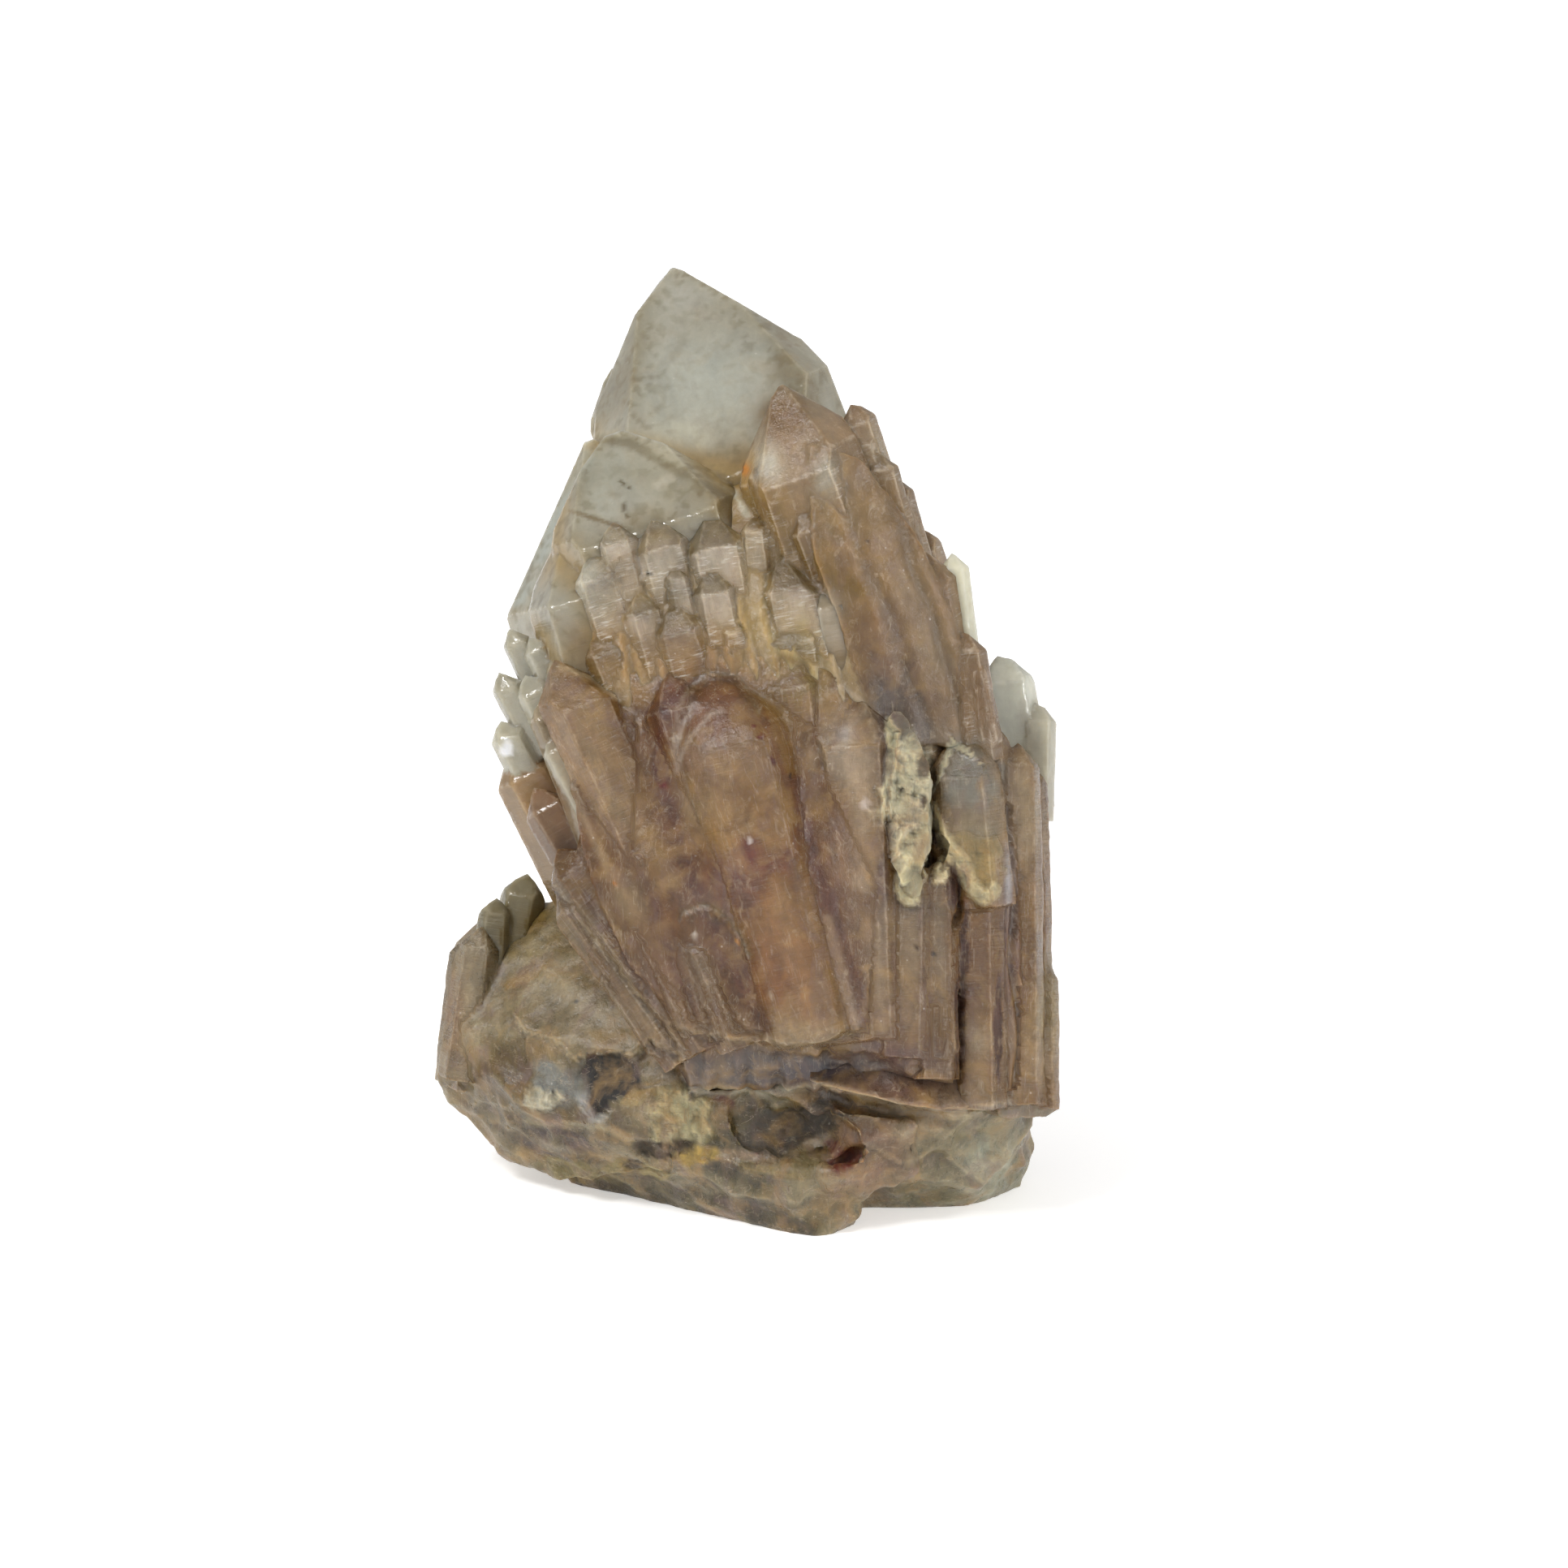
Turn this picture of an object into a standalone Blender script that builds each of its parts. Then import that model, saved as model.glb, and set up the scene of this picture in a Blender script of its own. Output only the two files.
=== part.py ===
"""A free-standing quartz cluster: many sub-parallel crystals grown together on a broken foot.

Everything is laid out as the cluster is seen from the front, slightly from above. A point is
(across, up, out) in millimetres: across to the right of the middle line, up from the lowest
point of the foot, and out towards the viewer. seen() turns such a point into the object's own
frame, with +Z up, the foot flat on Z = 0 and the viewer at -Y.
"""

import math
import random
from itertools import combinations

import bmesh
import bpy
import numpy as np
from mathutils import Matrix, Vector

MM = 0.001

# How the layout is seen
VIEW_TILT = math.radians(16)  # the view looks down on the standing cluster by this angle
VIEW_DISTANCE = 600.0  # from the viewer to the layout plane
VIEW_CENTRE = (2.25, 34.8)  # (across, up) straight ahead of the viewer
FORWARD_LEAN = 0.12  # how far the fan of crystals leans out for each millimetre up
FOOT_OUT = 9.0  # out of the front corner of the foot, which stands at Z = 0
ORIGIN_SHIFT = Vector((0.74, -5.3, 0.0))  # puts the middle of the box over the origin

# Quartz: the angle between the long axis and the normal of a tip face, and a crystal's habit
TIP_NORMAL = math.radians(51.8)
SIDES = 6
CORNER = math.cos(math.pi / SIDES)  # a face's distance over a corner's, in a hexagon
ROLL = 30  # degrees: a prism face looks at the viewer
ROLL_SPREAD = 8
MINOR_FACE = (0.03, 0.2)  # how much further out the three lesser tip faces lie, in radii
THICKNESS = 0.85  # front to back over side to side
TAPER = 1.2  # degrees

# name: tip, root, width across corners, and what sets it apart, as keyword arguments of planes_of
CROWNS = {
    "crown_main": (
        (-7.1, 75.4, -10), (3.5, 46, -9), 20.0,
        dict(thick=0.73, offset=(-1.1, 4.9), further=(0.7, -1.3, 0.5, 0, 0, 0), roll=30, cut=(1.4, 30, 165)),
    ),
    "crown_front": (
        (-11.4, 63.4, 1.6), (-4, 41.2, 3), 16.4,
        dict(thick=0.5, offset=(0.2, 1.2), further=(0.2, -2.0, 0.2, 0, 0, 0), roll=29),
    ),
    "crown_left": (
        (-12.4, 61.4, -4), (-5.5, 40.6, -4), 15.8,
        dict(thick=0.6, offset=(-2.9, 0), further=(0, 0, 0, 0, 0, 0), roll=28),
    ),
    "crown_low": (
        (-14.2, 55.6, 2.5), (-9.6, 39.6, 4), 9.8,
        dict(thick=0.85, offset=(-0.4, 1), further=(0.2, -0.3, 0, 0.2, 0, 0), roll=35),
    ),
    "crown_behind": ((-1.9, 60.2, -11), (3.1, 38.9, -10), 11.0, {}),
}
RIDGE = {
    "ridge_main": (
        (2.2, 65.4, 4), (12.4, 36.4, 3), 9.6,
        dict(thick=0.9, offset=(-0.6, 1.2), further=(0.3, -0.5, 0.5, 0, 0, 0.2)),
    ),
    "ridge_step": ((8.6, 57.5, 6.2), (13.2, 38.9, 5), 5.4, {}),
    "ridge_right": ((12.7, 53.1, 6.5), (16.3, 33, 5), 5.0, dict(further=(0, -0.5, 0.3, 0, 0.3, 0))),
    "ridge_cap": ((3.6, 56.3, 8.4), (7.8, 45.4, 7), 3.8, {}),
    "ridge_low": ((4.9, 52.4, 8.2), (9.8, 38, 6), 5.4, {}),
    "ridge_point_1": ((7.5, 64.3, 3.4), (12.8, 47, 3.5), 3.8, dict(offset=(-0.4, 0), cut=(0.3, 25, 0))),
    "ridge_point_2": ((11.1, 58.2, 3), (15.1, 42, 4), 3.6, dict(offset=(-0.8, 0), cut=(0.25, 20, 180))),
    "ridge_point_3": ((9.6, 60.2, 4.6), (13, 47, 4), 2.4, {}),
    "ridge_point_4": ((12.7, 54.5, 1), (16.4, 41.4, 1.5), 4.4, dict(offset=(-0.8, 0))),
    "ridge_needle": ((15.8, 52.6, 3.5), (18.0, 37, 4), 2.0, {}),
    "ridge_tooth": ((16.2, 46.5, 7.3), (17.5, 36.6, 7.6), 3.0, {}),
    "ridge_outer": ((14.7, 49.5, 5), (17.4, 36, 5), 3.0, {}),
    "ridge_ribs": ((9.3, 46.5, 7.6), (12.2, 36, 7), 3.2, {}),
    "right_pale_1": ((18.9, 44.9, -0.5), (20.6, 32.7, 0.5), 4.8, dict(cut=(0.3, 25, 0))),
    "right_pale_2": ((21.9, 41.1, 0.5), (21.4, 32, 1.5), 3.0, dict(cut=(0.25, 20, 0))),
}
MIDDLE_ROW = {
    "row_1": ((-12.6, 52.5, 7), (-8.1, 38.9, 8), 3.3, dict(cut=(0.3, 12, 90))),
    "row_2": ((-10.4, 53.2, 7.5), (-6.9, 41.4, 8.5), 1.8, {}),
    "row_3": ((-10.9, 55, 7), (-7.5, 42, 7.5), 2.6, {}),
    "row_4": ((-7.9, 55.2, 6.8), (-4.4, 41.4, 8), 3.9, {}),
    "row_5": ((-3.6, 55.6, 6.6), (-0.9, 41.4, 8), 4.4, dict(cut=(0.5, 12, 60))),
    "row_6": ((-0.1, 55.4, 7.2), (1.3, 42.7, 7.5), 1.8, {}),
    "row_7": ((-3.5, 51.2, 9), (-1.6, 41.4, 9.5), 2.8, dict(cut=(0.2, 10, 90))),
    "row_8": ((-6.4, 48.6, 10), (-4, 40.2, 9.5), 3.4, dict(cut=(0.4, 12, 90))),
    "row_9": ((-0.3, 49.3, 8.8), (1.3, 41.4, 8.8), 2.4, dict(cut=(0.3, 12, 60))),
    "row_10": ((2.2, 52.4, 8), (5.2, 38.9, 8.5), 4.6, dict(further=(0, 0.2, 0.4, 0, 0, 0))),
    "row_11": ((5.4, 50.1, 9.3), (7.3, 38.7, 8.8), 2.6, dict(cut=(0.3, 12, 90))),
    "row_12": ((1.9, 46.9, 10), (3.4, 40.2, 9.8), 1.8, {}),
    "row_13": ((3.6, 46.9, 10.2), (4.9, 40.2, 9.8), 1.7, {}),
    "row_14": ((-6.2, 51.5, 9.2), (-4, 41, 9.6), 1.4, dict(cut=(0.3, 10, 0))),
    "row_15": ((-9.0, 49.5, 9), (-6, 39, 9.4), 2.6, {}),
    "row_16": ((1.5, 55.6, 7), (3.3, 44, 6.5), 1.9, {}),
    "row_17": ((6.9, 49.6, 8.8), (8.1, 38, 8.4), 1.9, {}),
    "row_18": ((-12.2, 46.5, 8.2), (-8.6, 38, 9), 2.8, {}),
    "row_19": ((-1.9, 47.6, 10), (-0.3, 40, 9.8), 1.8, {}),
}
LEFT_POINTS = {
    "left_1": ((-18.9, 46.8, 4), (-15.6, 40.2, 3), 2.3, {}),
    "left_2": ((-17.3, 46.1, 5), (-14, 38.9, 5), 2.2, {}),
    "left_3": ((-19.7, 43.4, 4), (-16.2, 37.1, 3), 2.6, {}),
    "left_4": ((-17.7, 43.2, 5.5), (-14, 36.1, 5.5), 3.0, {}),
    "left_5": ((-19.7, 39.8, 4.2), (-16.2, 33.3, 3), 3.0, dict(cut=(0.6, 35, 60))),
    "left_6": ((-18.5, 37.8, 3), (-12.2, 26.4, 2.5), 4.9, {}),
    "left_7": ((-16.7, 41, 7), (-11.9, 29.6, 8.5), 2.4, {}),
    "left_8": ((-15.9, 38.2, 8.2), (-11.2, 29.6, 8.8), 2.0, {}),
    "left_9": ((-17, 34.5, 6), (-11.5, 25.4, 7), 3.8, {}),
    "left_10": ((-15.6, 44.5, 6), (-12.5, 37, 7), 2.0, {}),
}
COLUMNS = {
    "column_1": ((-15.4, 44.4, 8.3), (-5, 20.2, 10.6), 5.6, dict(taper=-1.5, offset=(0.6, 0.6))),
    "column_2": ((-11.6, 41.6, 9), (-2.6, 19.3, 11), 5.4, dict(taper=-2.5, cut=(0.6, 15, 60))),
    "column_3": ((-8.4, 31.5, 11.2), (-2.4, 15.5, 12.6), 4.6, dict(taper=-1.5, cut=(0.5, 15, 90))),
    "column_4": ((-6.6, 43.3, 11), (1.4, 15, 13.2), 5.6, dict(taper=-3.5, cut=(0.4, 12, 150))),
    "column_5": (
        (-3.6, 44.4, 11.6), (4.2, 14.7, 13.8), 8.6,
        dict(taper=-2.4, offset=(0.2, 0.8), further=(0.3, -0.6, 0.3, 0.2, 0, 0), cut=(0.6, 12, 90)),
    ),
    "column_6": ((2.2, 32.5, 12.4), (6.2, 14.9, 13.6), 3.4, dict(taper=-1)),
    "column_7": ((2.2, 45.1, 9.8), (6.4, 20.3, 11.6), 5.6, dict(taper=-2.5, cut=(0.3, 12, 90))),
    "column_8": ((4.6, 30.5, 12), (7.5, 15.2, 13.2), 2.6, {}),
    "column_9": (
        (6.3, 42.6, 9.6), (8.6, 15.3, 13), 6.8,
        dict(taper=-4, offset=(0.7, 0.6), further=(0.5, -0.5, 0.3, 0, 0, 0), cut=(0.4, 15, 60)),
    ),
    "column_10": ((9.2, 27.6, 11.6), (9.7, 15.5, 12.8), 3.0, {}),
    "column_11": ((-13.4, 36.5, 9.4), (-6.4, 21, 10.6), 3.4, dict(taper=-1)),
    "stump_1": ((12, 29.4, 11), (11.5, 13.8, 12.6), 4.2, dict(cut=(1.2, 46, 90))),
    "stump_2": ((14.1, 28.8, 10.6), (13.9, 12.1, 12.8), 3.0, dict(cut=(0.9, 42, 80))),
    "slanted_1": ((-15.2, 29.9, 8.5), (-4.4, 15, 11.2), 4.6, dict(taper=-0.5)),
    "slanted_2": ((-14.9, 26.8, 8.8), (-5.4, 13.6, 11), 4.0, dict(taper=-0.5, cut=(0.5, 25, 180))),
    "slanted_3": ((-13.2, 31.8, 9), (-3.4, 15.5, 11.4), 3.6, {}),
    "slanted_4": ((-9.3, 25.5, 11.2), (-3.2, 14.8, 12.4), 3.6, {}),
    "slanted_5": ((-4.6, 24.2, 12.6), (-0.6, 14.8, 13.2), 4.6, dict(cut=(0.5, 20, 120))),
    "right_column_1": (
        (15.9, 38.9, 8.4), (17, 25.4, 9.2), 5.8, dict(further=(0.3, -0.4, 0.3, 0, 0, 0), cut=(0.9, 15, 180)),
    ),
    "right_column_2": ((17, 29.4, 9.2), (17.2, 9.9, 10.4), 4.2, dict(taper=0.5)),
    "right_column_3": ((20.3, 38, 5.5), (20.3, 10.2, 8), 3.5, dict(taper=0.8, cut=(0.4, 12, 90))),
    "right_column_4": ((21.1, 36.4, 3), (21.2, 10.8, 5.5), 3.0, {}),
    "right_column_5": ((18.2, 39.6, 6), (18.7, 12, 8), 3.0, dict(cut=(0.3, 12, 90))),
    "right_column_6": ((22.2, 21, 4.6), (22.1, 9.8, 6.6), 2.4, {}),
}
LEFT_LOBE = {
    "lobe_main": ((-17.6, 26.9, -5), (-19.2, 11.4, -5), 11.0, {}),
    "lobe_spike": ((-17.5, 27.9, -3.5), (-19.7, 16.4, -2), 3.6, {}),
    "lobe_spike_2": ((-19.9, 26.1, -1.5), (-21.2, 15, -1), 2.6, {}),
    "lobe_left": ((-21, 23.9, -0.4), (-22.6, 12.1, -0.6), 3.4, {}),
    "lobe_edge": ((-22.6, 22.7, -1.4), (-23.5, 12.7, -1.4), 1.8, {}),
}
BACK = {
    "back_1": ((7.0, 55.2, -8), (11.3, 30, -9), 8.4, {}),
    "back_2": ((-7.8, 50.4, -10), (-3.1, 26, -11), 8.4, {}),
    "back_3": ((1.9, 49.7, -14), (4, 20, -14), 8.8, {}),
    "back_4": ((-12.2, 40.2, -8), (-6, 18, -9), 7.4, {}),
    "back_5": ((14.4, 45.2, -6), (15.6, 20, -8), 7.4, {}),
    "back_6": ((-4.3, 38, -15), (-2, 12, -15), 7.4, {}),
    "back_7": ((8.6, 37.9, -15), (8.6, 10, -15), 7.4, {}),
    "back_8": ((18.2, 36, -3), (18.2, 12, -5), 6.0, {}),
    "back_9": ((-14.5, 22.5, -9), (-13, 6, -10), 7.4, {}),
    "back_10": ((13.6, 29, -11), (12.6, 5, -12), 6.4, {}),
    "back_11": ((-8.6, 27, -14), (-7.4, 4, -13), 6.4, {}),
    "back_12": ((2.6, 26, -18), (2.4, 2, -16), 6.0, {}),
}
# parent: how many smaller crystals stand round its back, and how far round from straight behind
BUDS = {
    "crown_main": (3, 42), "crown_behind": (3, 70), "back_1": (3, 75), "back_2": (4, 75),
    "back_3": (3, 95), "back_4": (3, 60), "back_5": (3, 60), "back_6": (3, 90), "back_7": (3, 90),
    "back_8": (2, 40), "back_9": (2, 80), "back_10": (2, 70), "back_11": (3, 80), "back_12": (3, 100),
}
BUD_WIDTH = (0.24, 0.42)  # of the parent's width
BUD_DROP = (0.2, 0.62)  # how far down the parent its tip stands, of the parent's length


def seen(point):
    """The point of the object's frame that shows at (across, up) and lies that far out."""
    across, up, out = point
    out = out + FORWARD_LEAN * up
    nearer = 1 - out / VIEW_DISTANCE
    across = VIEW_CENTRE[0] + (across - VIEW_CENTRE[0]) * nearer
    up = VIEW_CENTRE[1] + (up - VIEW_CENTRE[1]) * nearer
    y = up * math.sin(VIEW_TILT) - out * math.cos(VIEW_TILT)
    z = up * math.cos(VIEW_TILT) + out * math.sin(VIEW_TILT)
    return Vector((across, y, z - FLOOR)) + ORIGIN_SHIFT


FLOOR = 0.0
FLOOR = seen((5.1, 0.0, FOOT_OUT)).z


def on_floor(across, up):
    """The (across, up, out) of the point of the floor that shows at (across, up)."""
    low, high = -60.0, 60.0
    while high - low > 1e-3:
        out = (low + high) / 2
        low, high = (out, high) if seen((across, up, out)).z < 0 else (low, out)
    return (across, up, low)


def corners_of(planes):
    """The corners of the convex solid where every (normal, distance) plane holds."""
    normals = np.array([n for n, _ in planes])
    reach = np.array([d for _, d in planes])
    found = []
    for trio in combinations(range(len(planes)), 3):
        m = normals[list(trio)]
        if abs(np.linalg.det(m)) < 1e-6:
            continue
        point = np.linalg.solve(m, reach[list(trio)])
        if (normals @ point <= reach + 1e-6).all():
            found.append(point)
    return found


def axes_of(tip, root):
    """A crystal's own up, right and front, with the front as near to the viewer as it can be."""
    up = (tip - root).normalized()
    right = Vector((1, 0, 0))
    right = (right - right.dot(up) * up).normalized()
    return up, right, right.cross(up)


def planes_of(
    tip, root, width, rng, thick=THICKNESS, roll=None, taper=TAPER, offset=(0, 0), further=None, cut=None,
    two_tips=False,
):
    """The planes of a six-sided crystal from its root to its pointed tip.

    offset moves the prism to the right and to the front under its tip, in millimetres. further
    moves the six tip faces outwards, in millimetres, from the front right one round by the front.
    cut is a broken or stunted tip: how far down, how far tilted, and to which side (0 right, 90
    front). taper narrows the prism upwards, in degrees. two_tips points the root as well.
    """
    up, right, front = axes_of(tip, root)
    turn = math.radians(ROLL + rng.uniform(-1, 1) * ROLL_SPREAD if roll is None else roll)
    lean = math.radians(taper)
    radius = width / 2
    middle = right * offset[0] + front * offset[1]
    shoulder = tip + middle - up * radius * CORNER * math.tan(TIP_NORMAL)
    planes = [(-up, -up.dot(root))]
    for k in range(SIDES):
        angle = turn + k * math.tau / SIDES
        outward = right * math.cos(angle) + front * math.sin(angle)
        reach = radius * CORNER * math.hypot(math.cos(angle), thick * math.sin(angle))
        wall = outward * math.cos(lean) + up * math.sin(lean)
        planes.append((wall, wall.dot(shoulder + outward * reach)))
        face = outward * math.sin(TIP_NORMAL) + up * math.cos(TIP_NORMAL)
        lesser = rng.uniform(*MINOR_FACE) * radius * (k % 2 == 0)
        planes.append((face, face.dot(tip) + (further[k] if further else lesser)))
        if two_tips:
            face = outward * math.sin(TIP_NORMAL) - up * math.cos(TIP_NORMAL)
            planes.append((face, face.dot(root)))
    if cut:
        down, tilt, side = cut[0], math.radians(cut[1]), math.radians(cut[2])
        sideways = right * math.cos(side) + front * math.sin(side)
        flat = up * math.cos(tilt) + sideways * math.sin(tilt)
        planes.append((flat, flat.dot(tip - up * down)))
    return planes


def solid(name, points):
    """A closed convex object through these points, given in millimetres."""
    mesh = bpy.data.meshes.new(name)
    shape = bmesh.new()
    for point in points:
        shape.verts.new(Vector(point) * MM)
    bmesh.ops.remove_doubles(shape, verts=shape.verts, dist=0.02 * MM)
    made = bmesh.ops.convex_hull(shape, input=shape.verts)
    inner = made["geom_interior"] + made["geom_unused"]
    bmesh.ops.delete(shape, geom=[v for v in set(inner) if isinstance(v, bmesh.types.BMVert)])
    bmesh.ops.dissolve_limit(shape, angle_limit=math.radians(0.3), verts=shape.verts, edges=shape.edges)
    bmesh.ops.recalc_face_normals(shape, faces=shape.faces)
    shape.to_mesh(mesh)
    shape.free()
    return bpy.data.objects.new(name, mesh)


def rounded(name, points):
    """A lump through roughly these points, with its edges rounded off."""
    above = [seen(p) for p in points]
    under = [p - Vector((0, 0, BELOW)) for p in above if p.z < 0.1]
    lump = solid(name, above + under)
    edges = lump.data.attributes.new("crease_edge", "FLOAT", "EDGE")
    edges.data.foreach_set("value", [EDGE_HARDNESS] * len(lump.data.edges))
    smooth = lump.modifiers.new("round", "SUBSURF")
    smooth.levels = smooth.render_levels = 2
    return baked(lump)


def baked(thing):
    """The object with its modifiers applied."""
    bpy.context.scene.collection.objects.link(thing)
    bpy.context.view_layer.update()
    mesh = bpy.data.meshes.new_from_object(thing.evaluated_get(bpy.context.evaluated_depsgraph_get()))
    name = thing.name
    bpy.data.objects.remove(thing)
    mesh.name = name
    return bpy.data.objects.new(name, mesh)


def buds_of(tip, root, width, count, spread, rng, thick=THICKNESS, offset=(0, 0)):
    """(tip, root, width) of smaller crystals that stand against the back of a larger one."""
    up, right, front = axes_of(tip, root)
    length = (tip - root).length
    middle = tip + right * offset[0] + front * offset[1]
    made = []
    for k in range(count):
        angle = math.radians(spread) * (2 * (k + 0.5 + rng.uniform(-0.3, 0.3)) / count - 1)
        outward = right * math.sin(angle) - front * math.cos(angle) * thick
        bud = width * rng.uniform(*BUD_WIDTH)
        top = middle - up * length * rng.uniform(*BUD_DROP) + outward * width * 0.44
        foot = top - up * min(length * 0.6, bud * 5.5) - outward * width * 0.1
        made.append((top, foot, bud))
    return made


def grown_crystals():
    """Every crystal as its own closed object."""
    rng = random.Random(7)
    made = []
    for table in (CROWNS, RIDGE, MIDDLE_ROW, LEFT_POINTS, COLUMNS, LEFT_LOBE, BACK):
        for name, (tip, root, width, habit) in table.items():
            tip, root = seen(tip), seen(root)
            made.append(solid(name, corners_of(planes_of(tip, root, width, rng, **habit))))
            shape = {key: habit[key] for key in ("thick", "offset") if key in habit}
            buds = buds_of(tip, root, width, *BUDS[name], rng, **shape) if name in BUDS else []
            for k, bud in enumerate(buds):
                made.append(solid(f"{name}_bud_{k}", corners_of(planes_of(*bud, rng, two_tips=True))))
    return made


# The mass that the crystals grow from, as convex lumps of broken quartz
LUMPS = {
    "heart": [
        (-10, 36, 5), (-9.5, 45, 3), (-6, 50, 3), (3, 53, 4), (9, 52, 3), (14, 44, 3.5), (18, 36, 4),
        (19, 12, 4.5), (8, 10, 7), (-8, 10, 4), (-10, 24, 6), (-9, 40, -8), (-5, 50, -9),
        (3, 50, -11), (11, 46, -8), (15, 38, -8), (18, 12, -8), (-10, 12, -9), (3, 38, -14),
        (3, 12, -15),
    ],
    "fan": [
        (-14, 40, 7), (-12.5, 28, 8), (-6, 16, 10.5), (0, 14.6, 12.4), (4.4, 14.2, 13.2), (9, 14.8, 12),
        (10.5, 37, 8.5), (4, 41.5, 10), (-5, 41.5, 10), (-10, 38, -2), (9, 38, -2), (-5, 11.4, 9.4),
        (1, 11.2, 10.4), (6, 11.4, 11), (9.5, 11, 11), (-4, 11, 0), (9, 11, 0), (0, 28, 12.6), (-6, 36, 11),
    ],
    "belt": [
        (-10.5, 47, 6.5), (-4, 49, 7.4), (1, 49.5, 7.6), (6, 48, 7.6), (9, 43, 8.4), (-13, 41, 7.4),
        (-9, 37, 10.5), (-1, 45, 9.4), (4, 44, 9.6), (-7, 44, 9),
        (0, 38, 12), (6, 37, 11), (-9, 46, 0), (6, 45, 0), (-11, 36, 0), (8, 36, 0),
    ],
    "right_side": [
        (9, 40, 7.2), (14, 38, 7), (18, 36, 6.5), (21, 33, 4), (21.4, 12, 4.5), (20, 9.8, 7.4),
        (17, 9.8, 8.6), (12, 11, 11), (8, 13, 11), (9, 34, 8), (9, 40, -4), (20, 34, -5),
        (20.6, 12, -4), (9, 10, -4),
    ],
    "right_block": [
        (6, 14.7, 13.6), (8.5, 15.6, 14), (15.3, 11.8, 13.6), (15, 16, 12.6), (10, 24, 11.2),
        (15, 24, 10.8), (7, 22, 11), (7, 13, 12), (15.2, 11.7, 12.8), (6.6, 12.6, 9), (15.1, 11.6, 9),
        (15, 24, 6),
    ],
    "chalk": [
        (9.9, 38.6, 9.2), (11.2, 38, 9), (12.5, 36.8, 8.6), (12.9, 30.5, 9.2), (12.4, 28.6, 10),
        (10, 28.8, 10.8), (9.8, 34, 10.4), (11.4, 33, 10.6), (10, 38, 5), (12.6, 36, 5), (12.6, 29, 5),
    ],
    "right_foot": [
        (18.6, 10.4, 10.2), (23.6, 9.9, 6.2), (23.4, 10.9, 5.8), (22.4, 9.1, 7), (19, 9.2, 10),
        (18.8, 17, 9), (21.8, 18, 6), (19, 11, 3), (22.2, 10, 2), (21, 18, 4),
    ],
}
# Lumps with rounded edges, of smoother broken quartz
ROUNDED = {
    "lobe_body": [
        (-22.4, 21.8, -2.4), (-17, 26, -4), (-13.5, 26.2, -2), (-9, 21, 3.6), (-5, 16, 8),
        (-3.6, 10.5, 9.6), (-6, 5.4, 7), (-12.4, 4.3, 2.4), (-15, 4.1, 0), (-19.1, 5.5, -3),
        (-22.6, 8.9, -4.4), (-24.7, 11.8, -4.4), (-24.7, 13.9, -2.4), (-22.4, 16, 1.4), (-19, 11, 4.4),
        (-20, 20, 0.4), (-14.5, 21, 2.6), (-21, 11, -10), (-20, 19, -9), (-12, 25, -9), (-12, 8, -14),
        (-14, 15, 6.4), (-13, 8.4, 6.8),
    ],
    "foot_left": [
        on_floor(-14.4, 4.3), on_floor(-6.9, 3.1), on_floor(-2.7, 2), on_floor(2.7, 0.7),
        on_floor(5.2, 0), on_floor(7.9, 1.2), on_floor(8.4, 3.2), on_floor(-15, 6.4), on_floor(-12, 9),
        on_floor(8, 9), (-6, 10.8, 8.5), (-2, 11.4, 10), (4.5, 12.0, 10.6), (9.2, 9.4, 9.6), (8.2, 4.0, 9.8),
        (2.5, 4.2, 11.4), (-4, 5.4, 8.6), (-12, 7.4, 3), (-1, 7.6, 10.8), (8, 14, -12), (-10, 14, -10),
        (-16, 9, -7),
    ],
    "foot_right": [
        on_floor(7.0, 2.6), on_floor(10.6, 2.4), on_floor(13.8, 2.9), on_floor(16.2, 2.7),
        on_floor(20.5, 4.2), on_floor(20.2, 7), on_floor(8, 9), (6, 11.4, 9.8), (11, 10.3, 10),
        (15.5, 9.8, 9.8), (21.2, 9.6, 7), (20.9, 7, 3), (17.4, 4.6, 5.6), (13, 4.6, 7.4), (21, 8, -7),
        (8, 12, -12), (17.5, 12, -10), (12, 7.6, 9.4),
    ],
    "foot_back": [
        on_floor(-12, 6), on_floor(14, 6), on_floor(-9, 9), on_floor(10, 9), (-13, 16, -9),
        (16, 18, -9), (-9, 24, -13), (12, 26, -12), (2, 24, -17), (-8, 10, -16), (11, 10, -15), (2, 8, -18),
        (-12, 14, 2), (14, 14, 2),
    ],
}
EDGE_HARDNESS = 0.62  # of the rounded lumps, from 0 for a pebble to 1 for a sharp break
BELOW = 1.5  # how far a lump that stands on the floor first goes on under it
# Broken hollows: middle, half sizes (across, up, out) and turn about the line of sight in degrees
HOLLOWS = {
    "under_ledge": ((3.4, 13.0, 13.8), (9.5, 1.5, 2.6), -2),
    "lens": ((2.6, 8.1, 11.4), (6.0, 2.5, 2.8), -22),
    "crevice": ((13.6, 31, 10.6), (0.9, 2.9, 3.4), 14),
    "notch": ((13.1, 35.8, 9.6), (0.6, 1.6, 2.0), 0),
    "gap": ((15.85, 19.5, 13), (0.5, 8.6, 3.4), -2),
    "pocket": ((6.9, 5.7, 10.6), (1.3, 1.0, 2.2), 30),
    "dark_hole": ((-2.2, 10.4, 10.2), (0.9, 0.7, 1.6), 0),
}


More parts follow.
